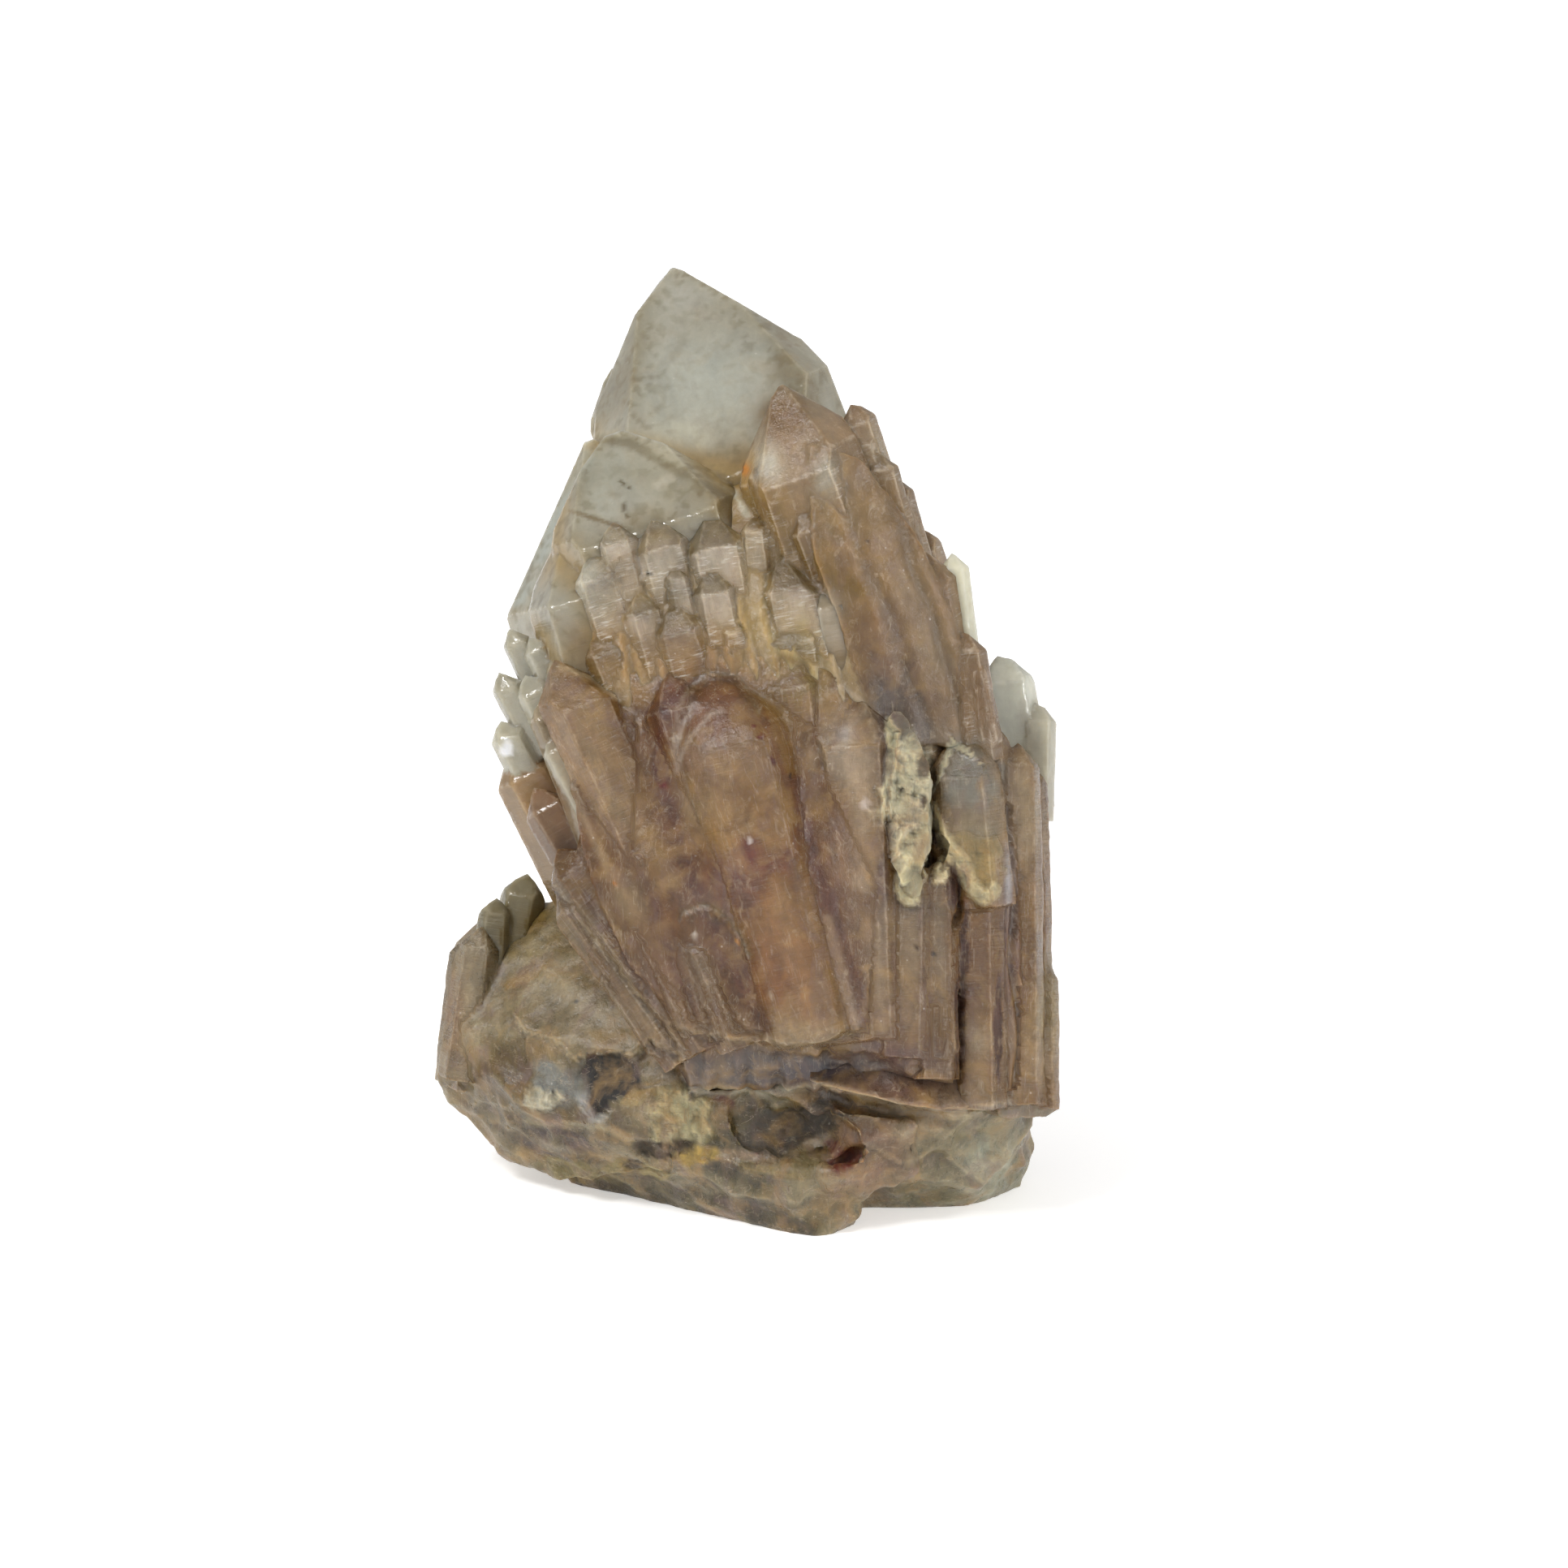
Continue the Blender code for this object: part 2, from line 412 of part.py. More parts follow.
def hollow(name, middle, half, turn):
    """An ellipsoid that cuts a rounded break out of the cluster."""
    mesh = bpy.data.meshes.new(name)
    shape = bmesh.new()
    bmesh.ops.create_icosphere(shape, subdivisions=3, radius=1.0)
    shape.to_mesh(mesh)
    shape.free()
    cutter = bpy.data.objects.new(name, mesh)
    facing = Matrix.Rotation(-VIEW_TILT, 4, "X") @ Matrix.Rotation(-math.radians(turn), 4, "Y")
    sizes = Matrix.Diagonal((half[0], half[2], half[1], 1 / MM)) * MM
    cutter.data.transform(Matrix.Translation(seen(middle) * MM) @ facing @ sizes)
    return cutter


def below_floor():
    """The block that cuts the foot off flat at Z = 0."""
    mesh = bpy.data.meshes.new("below_floor")
    shape = bmesh.new()
    bmesh.ops.create_cube(shape, size=200 * MM)
    shape.to_mesh(mesh)
    shape.free()
    block = bpy.data.objects.new("below_floor", mesh)
    block.data.transform(Matrix.Translation((0, 0, -100 * MM)))
    return block


def hidden(name, members):
    """A collection of helpers for a Boolean."""
    group = bpy.data.collections.new(name)
    bpy.context.scene.collection.children.link(group)
    for member in members:
        member.hide_render = True
        member.display_type = "WIRE"
        group.objects.link(member)
    return group


def fused(name, start, grown, cutters):
    """One closed object: start joined with everything grown, less the cutters."""
    for operation, members in (("UNION", grown), ("DIFFERENCE", cutters)):
        step = start.modifiers.new(operation, "BOOLEAN")
        step.operation = operation
        step.operand_type = "COLLECTION"
        step.collection = hidden(operation, members)
        step.solver = "EXACT"
    joined = baked(start)
    for helper in [*grown, *cutters]:
        bpy.data.objects.remove(helper)
    keep_outer_shell(joined.data)
    joined.name = joined.data.name = name
    return joined


def keep_outer_shell(mesh):
    """Drops the walls of any space sealed inside, and welds points that nearly meet."""
    shape = bmesh.new()
    shape.from_mesh(mesh)
    bmesh.ops.remove_doubles(shape, verts=shape.verts, dist=0.004 * MM)
    bmesh.ops.dissolve_degenerate(shape, edges=shape.edges, dist=0.002 * MM)
    seen_verts = set()
    shells = []
    for start in shape.verts:
        if start in seen_verts:
            continue
        shell, todo = [], [start]
        seen_verts.add(start)
        while todo:
            vert = todo.pop()
            shell.append(vert)
            for edge in vert.link_edges:
                other = edge.other_vert(vert)
                if other not in seen_verts:
                    seen_verts.add(other)
                    todo.append(other)
        shells.append(shell)
    shells.sort(key=len, reverse=True)
    for shell in shells[1:]:
        bmesh.ops.delete(shape, geom=shell)
    bmesh.ops.triangulate(shape, faces=shape.faces)
    shape.to_mesh(mesh)
    shape.free()


def quartz():
    """Warm brown, half clear quartz."""
    material = bpy.data.materials.new("quartz")
    material.use_nodes = True
    surface = material.node_tree.nodes["Principled BSDF"]
    surface.inputs["Base Color"].default_value = (0.36, 0.25, 0.17, 1)
    surface.inputs["Roughness"].default_value = 0.3
    surface.inputs["Metallic"].default_value = 0.0
    return material


def main():
    for old in list(bpy.data.objects):
        bpy.data.objects.remove(old)
    lumps = [solid(name, [seen(p) for p in points]) for name, points in LUMPS.items()]
    lumps += [rounded(name, points) for name, points in ROUNDED.items()]
    cutters = [hollow(name, *facts) for name, facts in HOLLOWS.items()]
    cluster = fused(
        "citrine_cluster", lumps[0], lumps[1:] + grown_crystals(), cutters + [below_floor()]
    )
    cluster.data.materials.clear()
    cluster.data.materials.append(quartz())
    bpy.context.scene.collection.objects.link(cluster)


main()
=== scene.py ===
"""Looks of the citrine cluster: clear and milky quartz crystals grown together on a broken foot.

Every crystal is built again from the same layout as the solid part, now as a distance field on a
fine grid, so that edges wear, grooves heal and broken faces undulate. The surface of each field
becomes one mesh piece, and each of its points then gets its colour from the crystal it belongs to,
how deep it lies between its neighbours, and the stains that are listed.

The layout is in millimetres as the cluster is seen from the front: (across, up, out).
"""

import math
import random

import bmesh
import bpy
import numpy as np
from mathutils import Matrix, Vector


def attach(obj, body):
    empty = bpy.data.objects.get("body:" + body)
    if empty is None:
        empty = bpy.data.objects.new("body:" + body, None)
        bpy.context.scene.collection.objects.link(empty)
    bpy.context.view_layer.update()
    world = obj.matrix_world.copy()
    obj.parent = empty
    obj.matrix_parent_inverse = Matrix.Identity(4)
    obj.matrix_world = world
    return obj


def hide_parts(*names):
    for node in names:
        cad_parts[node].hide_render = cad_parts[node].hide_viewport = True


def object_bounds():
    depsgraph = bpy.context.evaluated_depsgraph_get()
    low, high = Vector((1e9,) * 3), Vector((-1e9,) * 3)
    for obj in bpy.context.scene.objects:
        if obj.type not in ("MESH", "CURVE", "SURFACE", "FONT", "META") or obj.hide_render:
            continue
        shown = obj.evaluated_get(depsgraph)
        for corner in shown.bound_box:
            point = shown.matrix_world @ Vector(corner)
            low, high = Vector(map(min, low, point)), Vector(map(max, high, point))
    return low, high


MM = 0.001

# How the layout is seen
VIEW_TILT = math.radians(16)  # the view looks down on the standing cluster by this angle
VIEW_DISTANCE = 600.0  # from the viewer to the layout plane
VIEW_CENTRE = (2.25, 34.8)  # (across, up) straight ahead of the viewer
FORWARD_LEAN = 0.12  # how far the fan of crystals leans out for each millimetre up
FOOT_OUT = 9.0  # out of the front corner of the foot, which stands at Z = 0
ORIGIN_SHIFT = Vector((0.74, -5.3, 0.0))  # puts the middle of the box over the origin

# Quartz: the angle between the long axis and the normal of a tip face, and a crystal's habit
TIP_NORMAL = math.radians(51.8)
SIDES = 6
CORNER = math.cos(math.pi / SIDES)  # a face's distance over a corner's, in a hexagon
ROLL = 30  # degrees: a prism face looks at the viewer
ROLL_SPREAD = 8
MINOR_FACE = (0.03, 0.2)  # how much further out the three lesser tip faces lie, in radii
THICKNESS = 0.85  # front to back over side to side
TAPER = 1.2  # degrees

# name: tip, root, width across corners, and what sets it apart, as keyword arguments of planes_of
CROWNS = {
    "crown_main": (
        (-7.1, 75.4, -10), (3.5, 46, -9), 21.8,
        dict(thick=0.73, offset=(-1.1, 4.9), further=(0.7, -1.3, 0.5, 0, 0, 0), roll=30, cut=(1.4, 30, 165)),
    ),
    "crown_front": (
        (-11.4, 63.4, 1.6), (-4, 41.2, 3), 16.4,
        dict(thick=0.5, offset=(0.2, 1.2), further=(0.2, -2.0, 0.2, 0, 0, 0), roll=29),
    ),
    "crown_left": (
        (-12.4, 61.4, -4), (-5.5, 40.6, -4), 15.8,
        dict(thick=0.6, offset=(-3.4, 0), further=(0, 0, 0.5, 0.5, 0, 0), roll=28),
    ),
    "crown_low": (
        (-14.2, 55.6, 2.5), (-9.6, 39.6, 4), 9.8,
        dict(thick=0.85, offset=(-0.4, 1), further=(0.2, -0.3, 0, 0.2, 0, 0), roll=35),
    ),
    "crown_behind": ((-1.9, 60.2, -11), (3.1, 38.9, -10), 11.0, {}),
}
RIDGE = {
    "ridge_main": (
        (1.9, 65.6, 4), (12.4, 36.4, 3), 9.9,
        dict(thick=0.9, offset=(-0.6, 1.2), further=(0.1, -0.1, 0.3, 0, 0, 0.1)),
    ),
    "ridge_step": ((8.6, 57.5, 6.2), (13.2, 38.9, 5), 5.4, {}),
    "ridge_right": ((12.7, 53.1, 6.5), (16.3, 33, 5), 5.0, dict(further=(0, -0.5, 0.3, 0, 0.3, 0))),
    "ridge_cap": ((3.6, 56.3, 8.4), (7.8, 45.4, 7), 3.8, {}),
    "ridge_low": ((4.9, 52.4, 8.2), (9.8, 38, 6), 5.4, {}),
    "ridge_point_1": ((7.5, 64.3, 3.4), (12.8, 47, 3.5), 3.8, dict(offset=(-0.4, 0), cut=(0.3, 25, 0))),
    "ridge_point_2": ((11.1, 58.2, 3), (15.1, 42, 4), 3.6, dict(offset=(-0.8, 0), cut=(0.25, 20, 180))),
    "ridge_point_3": ((9.6, 60.2, 4.6), (13, 47, 4), 2.4, {}),
    "ridge_point_4": ((12.7, 54.5, 1), (16.4, 41.4, 1.5), 4.4, dict(offset=(-0.8, 0))),
    "ridge_needle": ((15.2, 52.6, 5.6), (16.9, 37, 5.8), 2.4, {}),
    "ridge_tooth": ((16.2, 46.5, 7.3), (17.5, 36.6, 7.6), 3.0, {}),
    "ridge_outer": ((14.7, 49.5, 5), (17.4, 36, 5), 3.0, {}),
    "ridge_ribs": ((9.3, 46.5, 7.6), (12.2, 36, 7), 3.2, {}),
    "right_pale_1": ((18.9, 44.9, -0.5), (20.6, 32.7, 0.5), 4.8, dict(cut=(0.3, 25, 0))),
    "right_pale_2": ((21.9, 41.1, 0.5), (21.4, 32, 1.5), 3.0, dict(cut=(0.25, 20, 0))),
}
MIDDLE_ROW = {
    "row_1": ((-12.6, 52.5, 7), (-8.1, 38.9, 8), 3.3, dict(cut=(0.3, 12, 90))),
    "row_2": ((-10.4, 53.2, 7.5), (-6.9, 41.4, 8.5), 1.8, {}),
    "row_3": ((-10.9, 55, 7), (-7.5, 42, 7.5), 2.6, {}),
    "row_4": ((-7.9, 55.2, 6.8), (-4.4, 41.4, 8), 3.9, {}),
    "row_5": ((-3.6, 55.6, 6.6), (-0.9, 41.4, 8), 4.4, dict(cut=(0.5, 12, 60))),
    "row_6": ((-0.1, 55.4, 7.2), (1.3, 42.7, 7.5), 1.8, {}),
    "row_7": ((-3.5, 51.2, 9), (-1.6, 41.4, 9.5), 2.8, dict(cut=(0.2, 10, 90))),
    "row_8": ((-6.4, 48.6, 10), (-4, 40.2, 9.5), 3.4, dict(cut=(0.4, 12, 90))),
    "row_9": ((-0.3, 49.3, 8.8), (1.3, 41.4, 8.8), 2.4, dict(cut=(0.3, 12, 60))),
    "row_10": ((2.2, 52.4, 8), (5.2, 38.9, 8.5), 4.6, dict(further=(0, 0.2, 0.4, 0, 0, 0))),
    "row_11": ((5.4, 50.1, 9.3), (7.3, 38.7, 8.8), 2.6, dict(cut=(0.3, 12, 90))),
    "row_12": ((1.9, 46.9, 10), (3.4, 40.2, 9.8), 1.8, {}),
    "row_13": ((3.6, 46.9, 10.2), (4.9, 40.2, 9.8), 1.7, {}),
    "row_14": ((-6.2, 51.5, 9.2), (-4, 41, 9.6), 1.4, dict(cut=(0.3, 10, 0))),
    "row_15": ((-9.0, 49.5, 9), (-6, 39, 9.4), 2.6, {}),
    "row_16": ((1.5, 55.6, 7), (3.3, 44, 6.5), 1.9, {}),
    "row_17": ((6.9, 49.6, 8.8), (8.1, 38, 8.4), 1.9, {}),
    "row_18": ((-12.2, 46.5, 8.2), (-8.6, 38, 9), 2.8, {}),
    "row_19": ((-1.9, 47.6, 10), (-0.3, 40, 9.8), 1.8, {}),
}
LEFT_POINTS = {
    "left_1": ((-18.9, 46.8, 4), (-15.6, 40.2, 3), 2.3, {}),
    "left_2": ((-17.3, 46.1, 5), (-14, 38.9, 5), 2.2, {}),
    "left_3": ((-19.7, 43.4, 4), (-16.2, 37.1, 3), 2.6, {}),
    "left_4": ((-17.7, 43.2, 5.5), (-14, 36.1, 5.5), 3.0, {}),
    "left_5": ((-19.7, 39.8, 4.2), (-16.2, 33.3, 3), 3.0, dict(cut=(0.6, 35, 60))),
    "left_6": ((-18.8, 37.8, 3), (-12.8, 26.4, 2.5), 5.2, {}),
    "left_7": ((-16.7, 41, 7), (-11.9, 29.6, 8.5), 2.4, {}),
    "left_8": ((-15.9, 38.2, 8.2), (-11.2, 29.6, 8.8), 2.0, {}),
    "left_9": ((-17, 34.5, 6), (-11.5, 25.4, 7), 3.8, {}),
    "left_10": ((-15.6, 44.5, 6), (-12.5, 37, 7), 2.0, {}),
}
COLUMNS = {
    "column_1": ((-15.4, 44.4, 8.3), (-5, 20.2, 10.6), 6.6, dict(taper=-1.5, offset=(0.6, 0.6))),
    "column_2": ((-11.6, 41.6, 9), (-2.6, 19.3, 11), 5.4, dict(taper=-2.5)),
    "column_3": ((-8.4, 31.5, 11.2), (-2.4, 15.5, 12.6), 4.6, dict(taper=-1.5)),
    "column_4": ((-6.6, 43.3, 11), (1.4, 15, 13.2), 5.6, dict(taper=-3.5)),
    "column_5": (
        (-3.6, 44.6, 11.4), (4.2, 14.7, 13.6), 10.0,
        dict(taper=-2.4, offset=(0.2, 0.8), further=(0.3, -0.6, 0.3, 0.2, 0, 0)),
    ),
    "column_6": ((2.2, 32.5, 12.4), (6.2, 14.9, 13.6), 3.4, dict(taper=-1)),
    "column_7": ((2.2, 45.1, 9.8), (6.4, 20.3, 11.6), 6.0, dict(taper=-2.5)),
    "column_8": ((4.6, 30.5, 12), (7.5, 15.2, 13.2), 2.6, {}),
    "column_9": (
        (6.3, 42.8, 9.6), (8.6, 15.3, 12.8), 7.6,
        dict(taper=-4, offset=(0.7, 0.6), further=(0.5, -0.5, 0.3, 0, 0, 0)),
    ),
    "column_10": ((9.2, 27.6, 11.6), (9.7, 15.5, 12.8), 3.0, {}),
    "column_11": ((-13.4, 36.5, 9.4), (-6.4, 21, 10.6), 3.4, dict(taper=-1)),
    "stump_1": ((12, 29.4, 11), (11.5, 13.8, 12.6), 4.2, {}),
    "stump_2": ((14.1, 28.8, 10.6), (13.9, 12.1, 12.8), 3.0, {}),
    "slanted_1": ((-15.2, 29.9, 8.5), (-4.4, 15, 11.2), 4.6, dict(taper=-0.5)),
    "slanted_2": ((-14.9, 26.8, 8.8), (-5.4, 13.6, 11), 4.0, dict(taper=-0.5)),
    "slanted_3": ((-13.2, 31.8, 9), (-3.4, 15.5, 11.4), 3.6, {}),
    "slanted_4": ((-9.3, 25.5, 11.2), (-3.2, 14.8, 12.4), 3.6, {}),
    "slanted_5": ((-4.6, 24.2, 12.6), (-0.6, 14.8, 13.2), 4.6, {}),
    "right_column_1": ((15.9, 38.9, 8.4), (17, 25.4, 9.2), 5.8, dict(further=(0.3, -0.4, 0.3, 0, 0, 0))),
    "right_column_2": ((17, 29.4, 9.2), (17.2, 9.9, 10.4), 4.2, dict(taper=0.5)),
    "right_column_3": ((20.3, 38, 5.5), (20.3, 10.2, 8), 3.5, dict(taper=0.8)),
    "right_column_4": ((21.1, 36.4, 3), (21.2, 10.8, 5.5), 3.0, {}),
    "right_column_5": ((18.2, 39.6, 6), (18.7, 12, 8), 3.0, {}),
    "right_column_6": ((22.2, 21, 4.6), (22.1, 9.8, 6.6), 2.4, {}),
}
LEFT_LOBE = {
    "lobe_main": ((-17.6, 26.9, -5), (-19.2, 11.4, -5), 11.0, {}),
    "lobe_spike": ((-17.5, 27.9, -3.5), (-19.7, 16.4, -2), 3.6, {}),
    "lobe_spike_2": ((-19.9, 26.1, -1.5), (-21.2, 15, -1), 2.6, {}),
    "lobe_left": ((-21, 23.9, -0.4), (-22.6, 12.1, -0.6), 3.4, {}),
    "lobe_edge": ((-22.6, 22.7, -1.4), (-23.5, 12.7, -1.4), 1.8, {}),
}
BACK = {
    "back_1": ((7.0, 55.2, -8), (11.3, 30, -9), 8.4, {}),
    "back_2": ((-7.8, 50.4, -10), (-3.1, 26, -11), 8.4, {}),
    "back_3": ((1.9, 49.7, -14), (4, 20, -14), 8.8, {}),
    "back_4": ((-12.2, 40.2, -8), (-6, 18, -9), 7.4, {}),
    "back_5": ((14.4, 45.2, -6), (15.6, 20, -8), 7.4, {}),
    "back_6": ((-4.3, 38, -15), (-2, 12, -15), 7.4, {}),
    "back_7": ((8.6, 37.9, -15), (8.6, 10, -15), 7.4, {}),
    "back_8": ((18.2, 36, -3), (18.2, 12, -5), 6.0, {}),
    "back_9": ((-14.5, 22.5, -9), (-13, 6, -10), 7.4, {}),
    "back_10": ((13.6, 29, -11), (12.6, 5, -12), 6.4, {}),
    "back_11": ((-8.6, 27, -14), (-7.4, 4, -13), 6.4, {}),
    "back_12": ((2.6, 26, -18), (2.4, 2, -16), 6.0, {}),
}
# parent: how many smaller crystals stand round its back, and how far round from straight behind
BUDS = {
    "crown_main": (3, 42), "crown_behind": (3, 70), "back_1": (3, 75), "back_2": (4, 75),
    "back_3": (3, 95), "back_4": (3, 60), "back_5": (3, 60), "back_6": (3, 90), "back_7": (3, 90),
    "back_8": (2, 40), "back_9": (2, 80), "back_10": (2, 70), "back_11": (3, 80), "back_12": (3, 100),
}
BUD_WIDTH = (0.24, 0.42)  # of the parent's width
BUD_DROP = (0.2, 0.62)  # how far down the parent its tip stands, of the parent's length
BUD_ASIDE = 0.44  # how far from the parent's axis its tip stands, of the parent's width
BUD_SUNK = 0.1  # how far its root leans into the parent, of the parent's width
BUD_LENGTH = (0.6, 5.5)  # at most: of the parent's length, and of its own width
BUD_JITTER = 0.3  # of the even spacing round the parent
# Smooth crystals, without slivers
BROAD = {
    "column_1", "column_4", "column_5", "column_7", "column_9", "slanted_1", "stump_1", "right_column_1",
    "right_column_2", "right_column_3", "ridge_low", "right_pale_1", "right_pale_2",
}
SLIVER_HOST = 2.8  # mm of width above which a crystal carries slivers
SLIVER_WIDTH = (0.9, 1.9)
SLIVER_DROP = (0.12, 0.75)  # how far down the crystal its tip stands, of the crystal's length
SLIVER_LENGTH = (4, 9)  # of its own width
SLIVER_SUNK = (0.3, 0.41)  # of its own width
SLIVER_SPREAD = 80  # degrees to each side of straight in front
SLIVER_END = 0.95  # how far down the crystal it ends at most, of the crystal's length
SLIVER_LEAN = 0.2  # mm that its root stands further out than its tip
# Room in the box round a crystal, round a smaller one at its back and round a sliver: a share of its width,
# and millimetres
CRYSTAL_ROOM, BUD_ROOM, SLIVER_ROOM = (0.55, 2), (0.55, 1.5), (1, 1)
SLIVERS_PER_MM = {"column": 1.6, "ridge": 1.0, "back": 1.0}  # of the crystal's width
ROW_SWELL = 1.28  # the middle rows stand closer here than in the plain solid
ROW_ROLL = (22, 38)
# The main crystal's long right slope: (across, up, out) of one of its points, and its normal as seen
SLOPE_POINT = (-4.9, 74.2, -6)
SLOPE_NORMAL = (0.515, 0.857)


def seen(point):
    """The point of the object's frame that shows at (across, up) and lies that far out."""
    across, up, out = point
    out = out + FORWARD_LEAN * up
    nearer = 1 - out / VIEW_DISTANCE
    across = VIEW_CENTRE[0] + (across - VIEW_CENTRE[0]) * nearer
    up = VIEW_CENTRE[1] + (up - VIEW_CENTRE[1]) * nearer
    y = up * math.sin(VIEW_TILT) - out * math.cos(VIEW_TILT)
    z = up * math.cos(VIEW_TILT) + out * math.sin(VIEW_TILT)
    return Vector((across, y, z - FLOOR)) + ORIGIN_SHIFT


FLOOR = 0.0  # until the front corner of the foot, which stands on it, is known
FLOOR = seen((5.1, 0.0, FOOT_OUT)).z


def on_floor(across, up):
    """The (across, up, out) of the point of the floor that shows at (across, up)."""
    low, high = -60.0, 60.0
    while high - low > 1e-3:
        out = (low + high) / 2
        low, high = (out, high) if seen((across, up, out)).z < 0 else (low, out)
    return (across, up, low)


def as_seen(points):
    """(across, up, out) of points of the object's frame, as three arrays: the reverse of seen()."""
    across, y, z = (points - np.array(ORIGIN_SHIFT) + (0, 0, FLOOR)).T
    up = y * math.sin(VIEW_TILT) + z * math.cos(VIEW_TILT)
    out = z * math.sin(VIEW_TILT) - y * math.cos(VIEW_TILT)
    nearer = 1 - out / VIEW_DISTANCE
    across = VIEW_CENTRE[0] + (across - VIEW_CENTRE[0]) / nearer
    up = VIEW_CENTRE[1] + (up - VIEW_CENTRE[1]) / nearer
    return across, up, out - FORWARD_LEAN * up


# The mass that the crystals grow from, as convex lumps of broken quartz
LUMPS = {
    "heart": [
        (-10, 36, 5), (-9.5, 45, 3), (-6, 50, 3), (3, 53, 4), (9, 52, 3), (14, 44, 3.5), (18, 36, 4),
        (19, 12, 4.5), (8, 10, 7), (-8, 10, 4), (-10, 24, 6), (-9, 40, -8), (-5, 50, -9),
        (3, 50, -11), (11, 46, -8), (15, 38, -8), (18, 12, -8), (-10, 12, -9), (3, 38, -14),
        (3, 12, -15),
    ],
    "fan": [
        (-14, 40, 7), (-12.5, 28, 8), (-6, 16, 10.5), (0, 14.6, 12.4), (4.4, 14.2, 13.2), (9, 14.8, 12),
        (10.5, 37, 8.5), (4, 41.5, 10), (-5, 41.5, 10), (-10, 38, -2), (9, 38, -2), (-5, 11.4, 9.4),
        (1, 11.2, 10.4), (6, 11.4, 11), (9.5, 11, 11), (-4, 11, 0), (9, 11, 0), (0, 28, 12.6), (-6, 36, 11),
    ],
    "belt": [
        (-10.5, 47, 6.5), (-4, 49, 7.4), (1, 49.5, 7.6), (6, 48, 7.6), (9, 43, 8.4), (-13, 41, 7.4),
        (-9, 37, 10.5), (-1, 45, 9.4), (4, 44, 9.6), (-7, 44, 9),
        (0, 38, 12), (6, 37, 11), (-9, 46, 0), (6, 45, 0), (-11, 36, 0), (8, 36, 0),
    ],
    "right_side": [
        (9, 40, 7.2), (14, 38, 7), (18, 36, 6.5), (21, 33, 4), (21.4, 12, 4.5), (20, 9.8, 7.4),
        (17, 9.8, 8.6), (12, 11, 11), (8, 13, 11), (9, 34, 8), (9, 40, -4), (20, 34, -5),
        (20.6, 12, -4), (9, 10, -4),
    ],
    "right_block": [
        (6, 14.7, 13.6), (8.5, 15.6, 14), (15.3, 11.8, 13.6), (15, 16, 12.6), (10, 24, 11.2),
        (15, 24, 10.8), (7, 22, 11), (7, 13, 12), (15.2, 11.7, 12.8), (6.6, 12.6, 9), (15.1, 11.6, 9),
        (15, 24, 6),
    ],
    "chalk": [
        (9.9, 38.6, 9.2), (11.2, 38, 9), (12.5, 36.8, 8.6), (12.9, 30.5, 9.2), (12.4, 28.6, 10),
        (10, 28.8, 10.8), (9.8, 34, 10.4), (11.4, 33, 10.6), (10, 38, 5), (12.6, 36, 5), (12.6, 29, 5),
    ],
    "right_foot": [
        (18.6, 10.4, 10.2), (23.6, 9.9, 6.2), (23.4, 10.9, 5.8), (22.4, 9.1, 7), (19, 9.2, 10),
        (18.8, 17, 9), (21.8, 18, 6), (19, 11, 3), (22.2, 10, 2), (21, 18, 4),
    ],
}
# Lumps with rounded edges, of smoother broken quartz
ROUNDED = {
    "lobe_body": [
        (-22.4, 21.8, -2.4), (-17, 26, -4), (-13.5, 26.2, -2), (-9, 21, 3.6), (-5, 16, 8),
        (-3.6, 10.5, 9.6), (-6, 5.4, 7), (-12.4, 4.3, 2.4), (-15, 4.1, 0), (-19.1, 5.5, -3),
        (-22.6, 8.9, -4.4), (-24.7, 11.8, -4.4), (-24.7, 13.9, -2.4), (-22.4, 16, 1.4), (-19, 11, 4.4),
        (-20, 20, 0.4), (-14.5, 21, 2.6), (-21, 11, -10), (-20, 19, -9), (-12, 25, -9), (-12, 8, -14),
        (-14, 15, 6.4), (-13, 8.4, 6.8),
    ],
    "foot_left": [
        on_floor(-14.4, 4.3), on_floor(-6.9, 3.1), on_floor(-2.7, 2), on_floor(2.7, 0.7),
        on_floor(5.2, 0), on_floor(7.9, 1.2), on_floor(8.4, 3.2), on_floor(-15, 6.4), on_floor(-12, 9),
        on_floor(8, 9), (-6, 10.8, 8.5), (-2, 11.4, 10), (4.5, 12.0, 10.6), (9.2, 9.4, 9.6), (8.2, 4.0, 9.8),
        (2.5, 4.2, 11.4), (-4, 5.4, 8.6), (-12, 7.4, 3), (-1, 7.6, 10.8), (8, 14, -12), (-10, 14, -10),
        (-16, 9, -7),
    ],
    "foot_right": [
        on_floor(7.0, 2.6), on_floor(10.6, 2.4), on_floor(13.8, 2.9), on_floor(16.2, 2.7),
        on_floor(20.5, 4.2), on_floor(20.2, 7), on_floor(8, 9), (6, 11.4, 9.8), (11, 10.3, 10),
        (15.5, 9.8, 9.8), (21.2, 9.6, 7), (20.9, 7, 3), (17.4, 4.6, 5.6), (13, 4.6, 7.4), (21, 8, -7),
        (8, 12, -12), (17.5, 12, -10), (12, 7.6, 9.4),
    ],
    "foot_back": [
        on_floor(-12, 6), on_floor(14, 6), on_floor(-9, 9), on_floor(10, 9), (-13, 16, -9),
        (16, 18, -9), (-9, 24, -13), (12, 26, -12), (2, 24, -17), (-8, 10, -16), (11, 10, -15), (2, 8, -18),
        (-12, 14, 2), (14, 14, 2),
    ],
}
EDGE_HARDNESS = 0.62  # of the rounded lumps, from 0 for a pebble to 1 for a sharp break
BELOW = 1.5  # how far a lump that stands on the floor first goes on under it
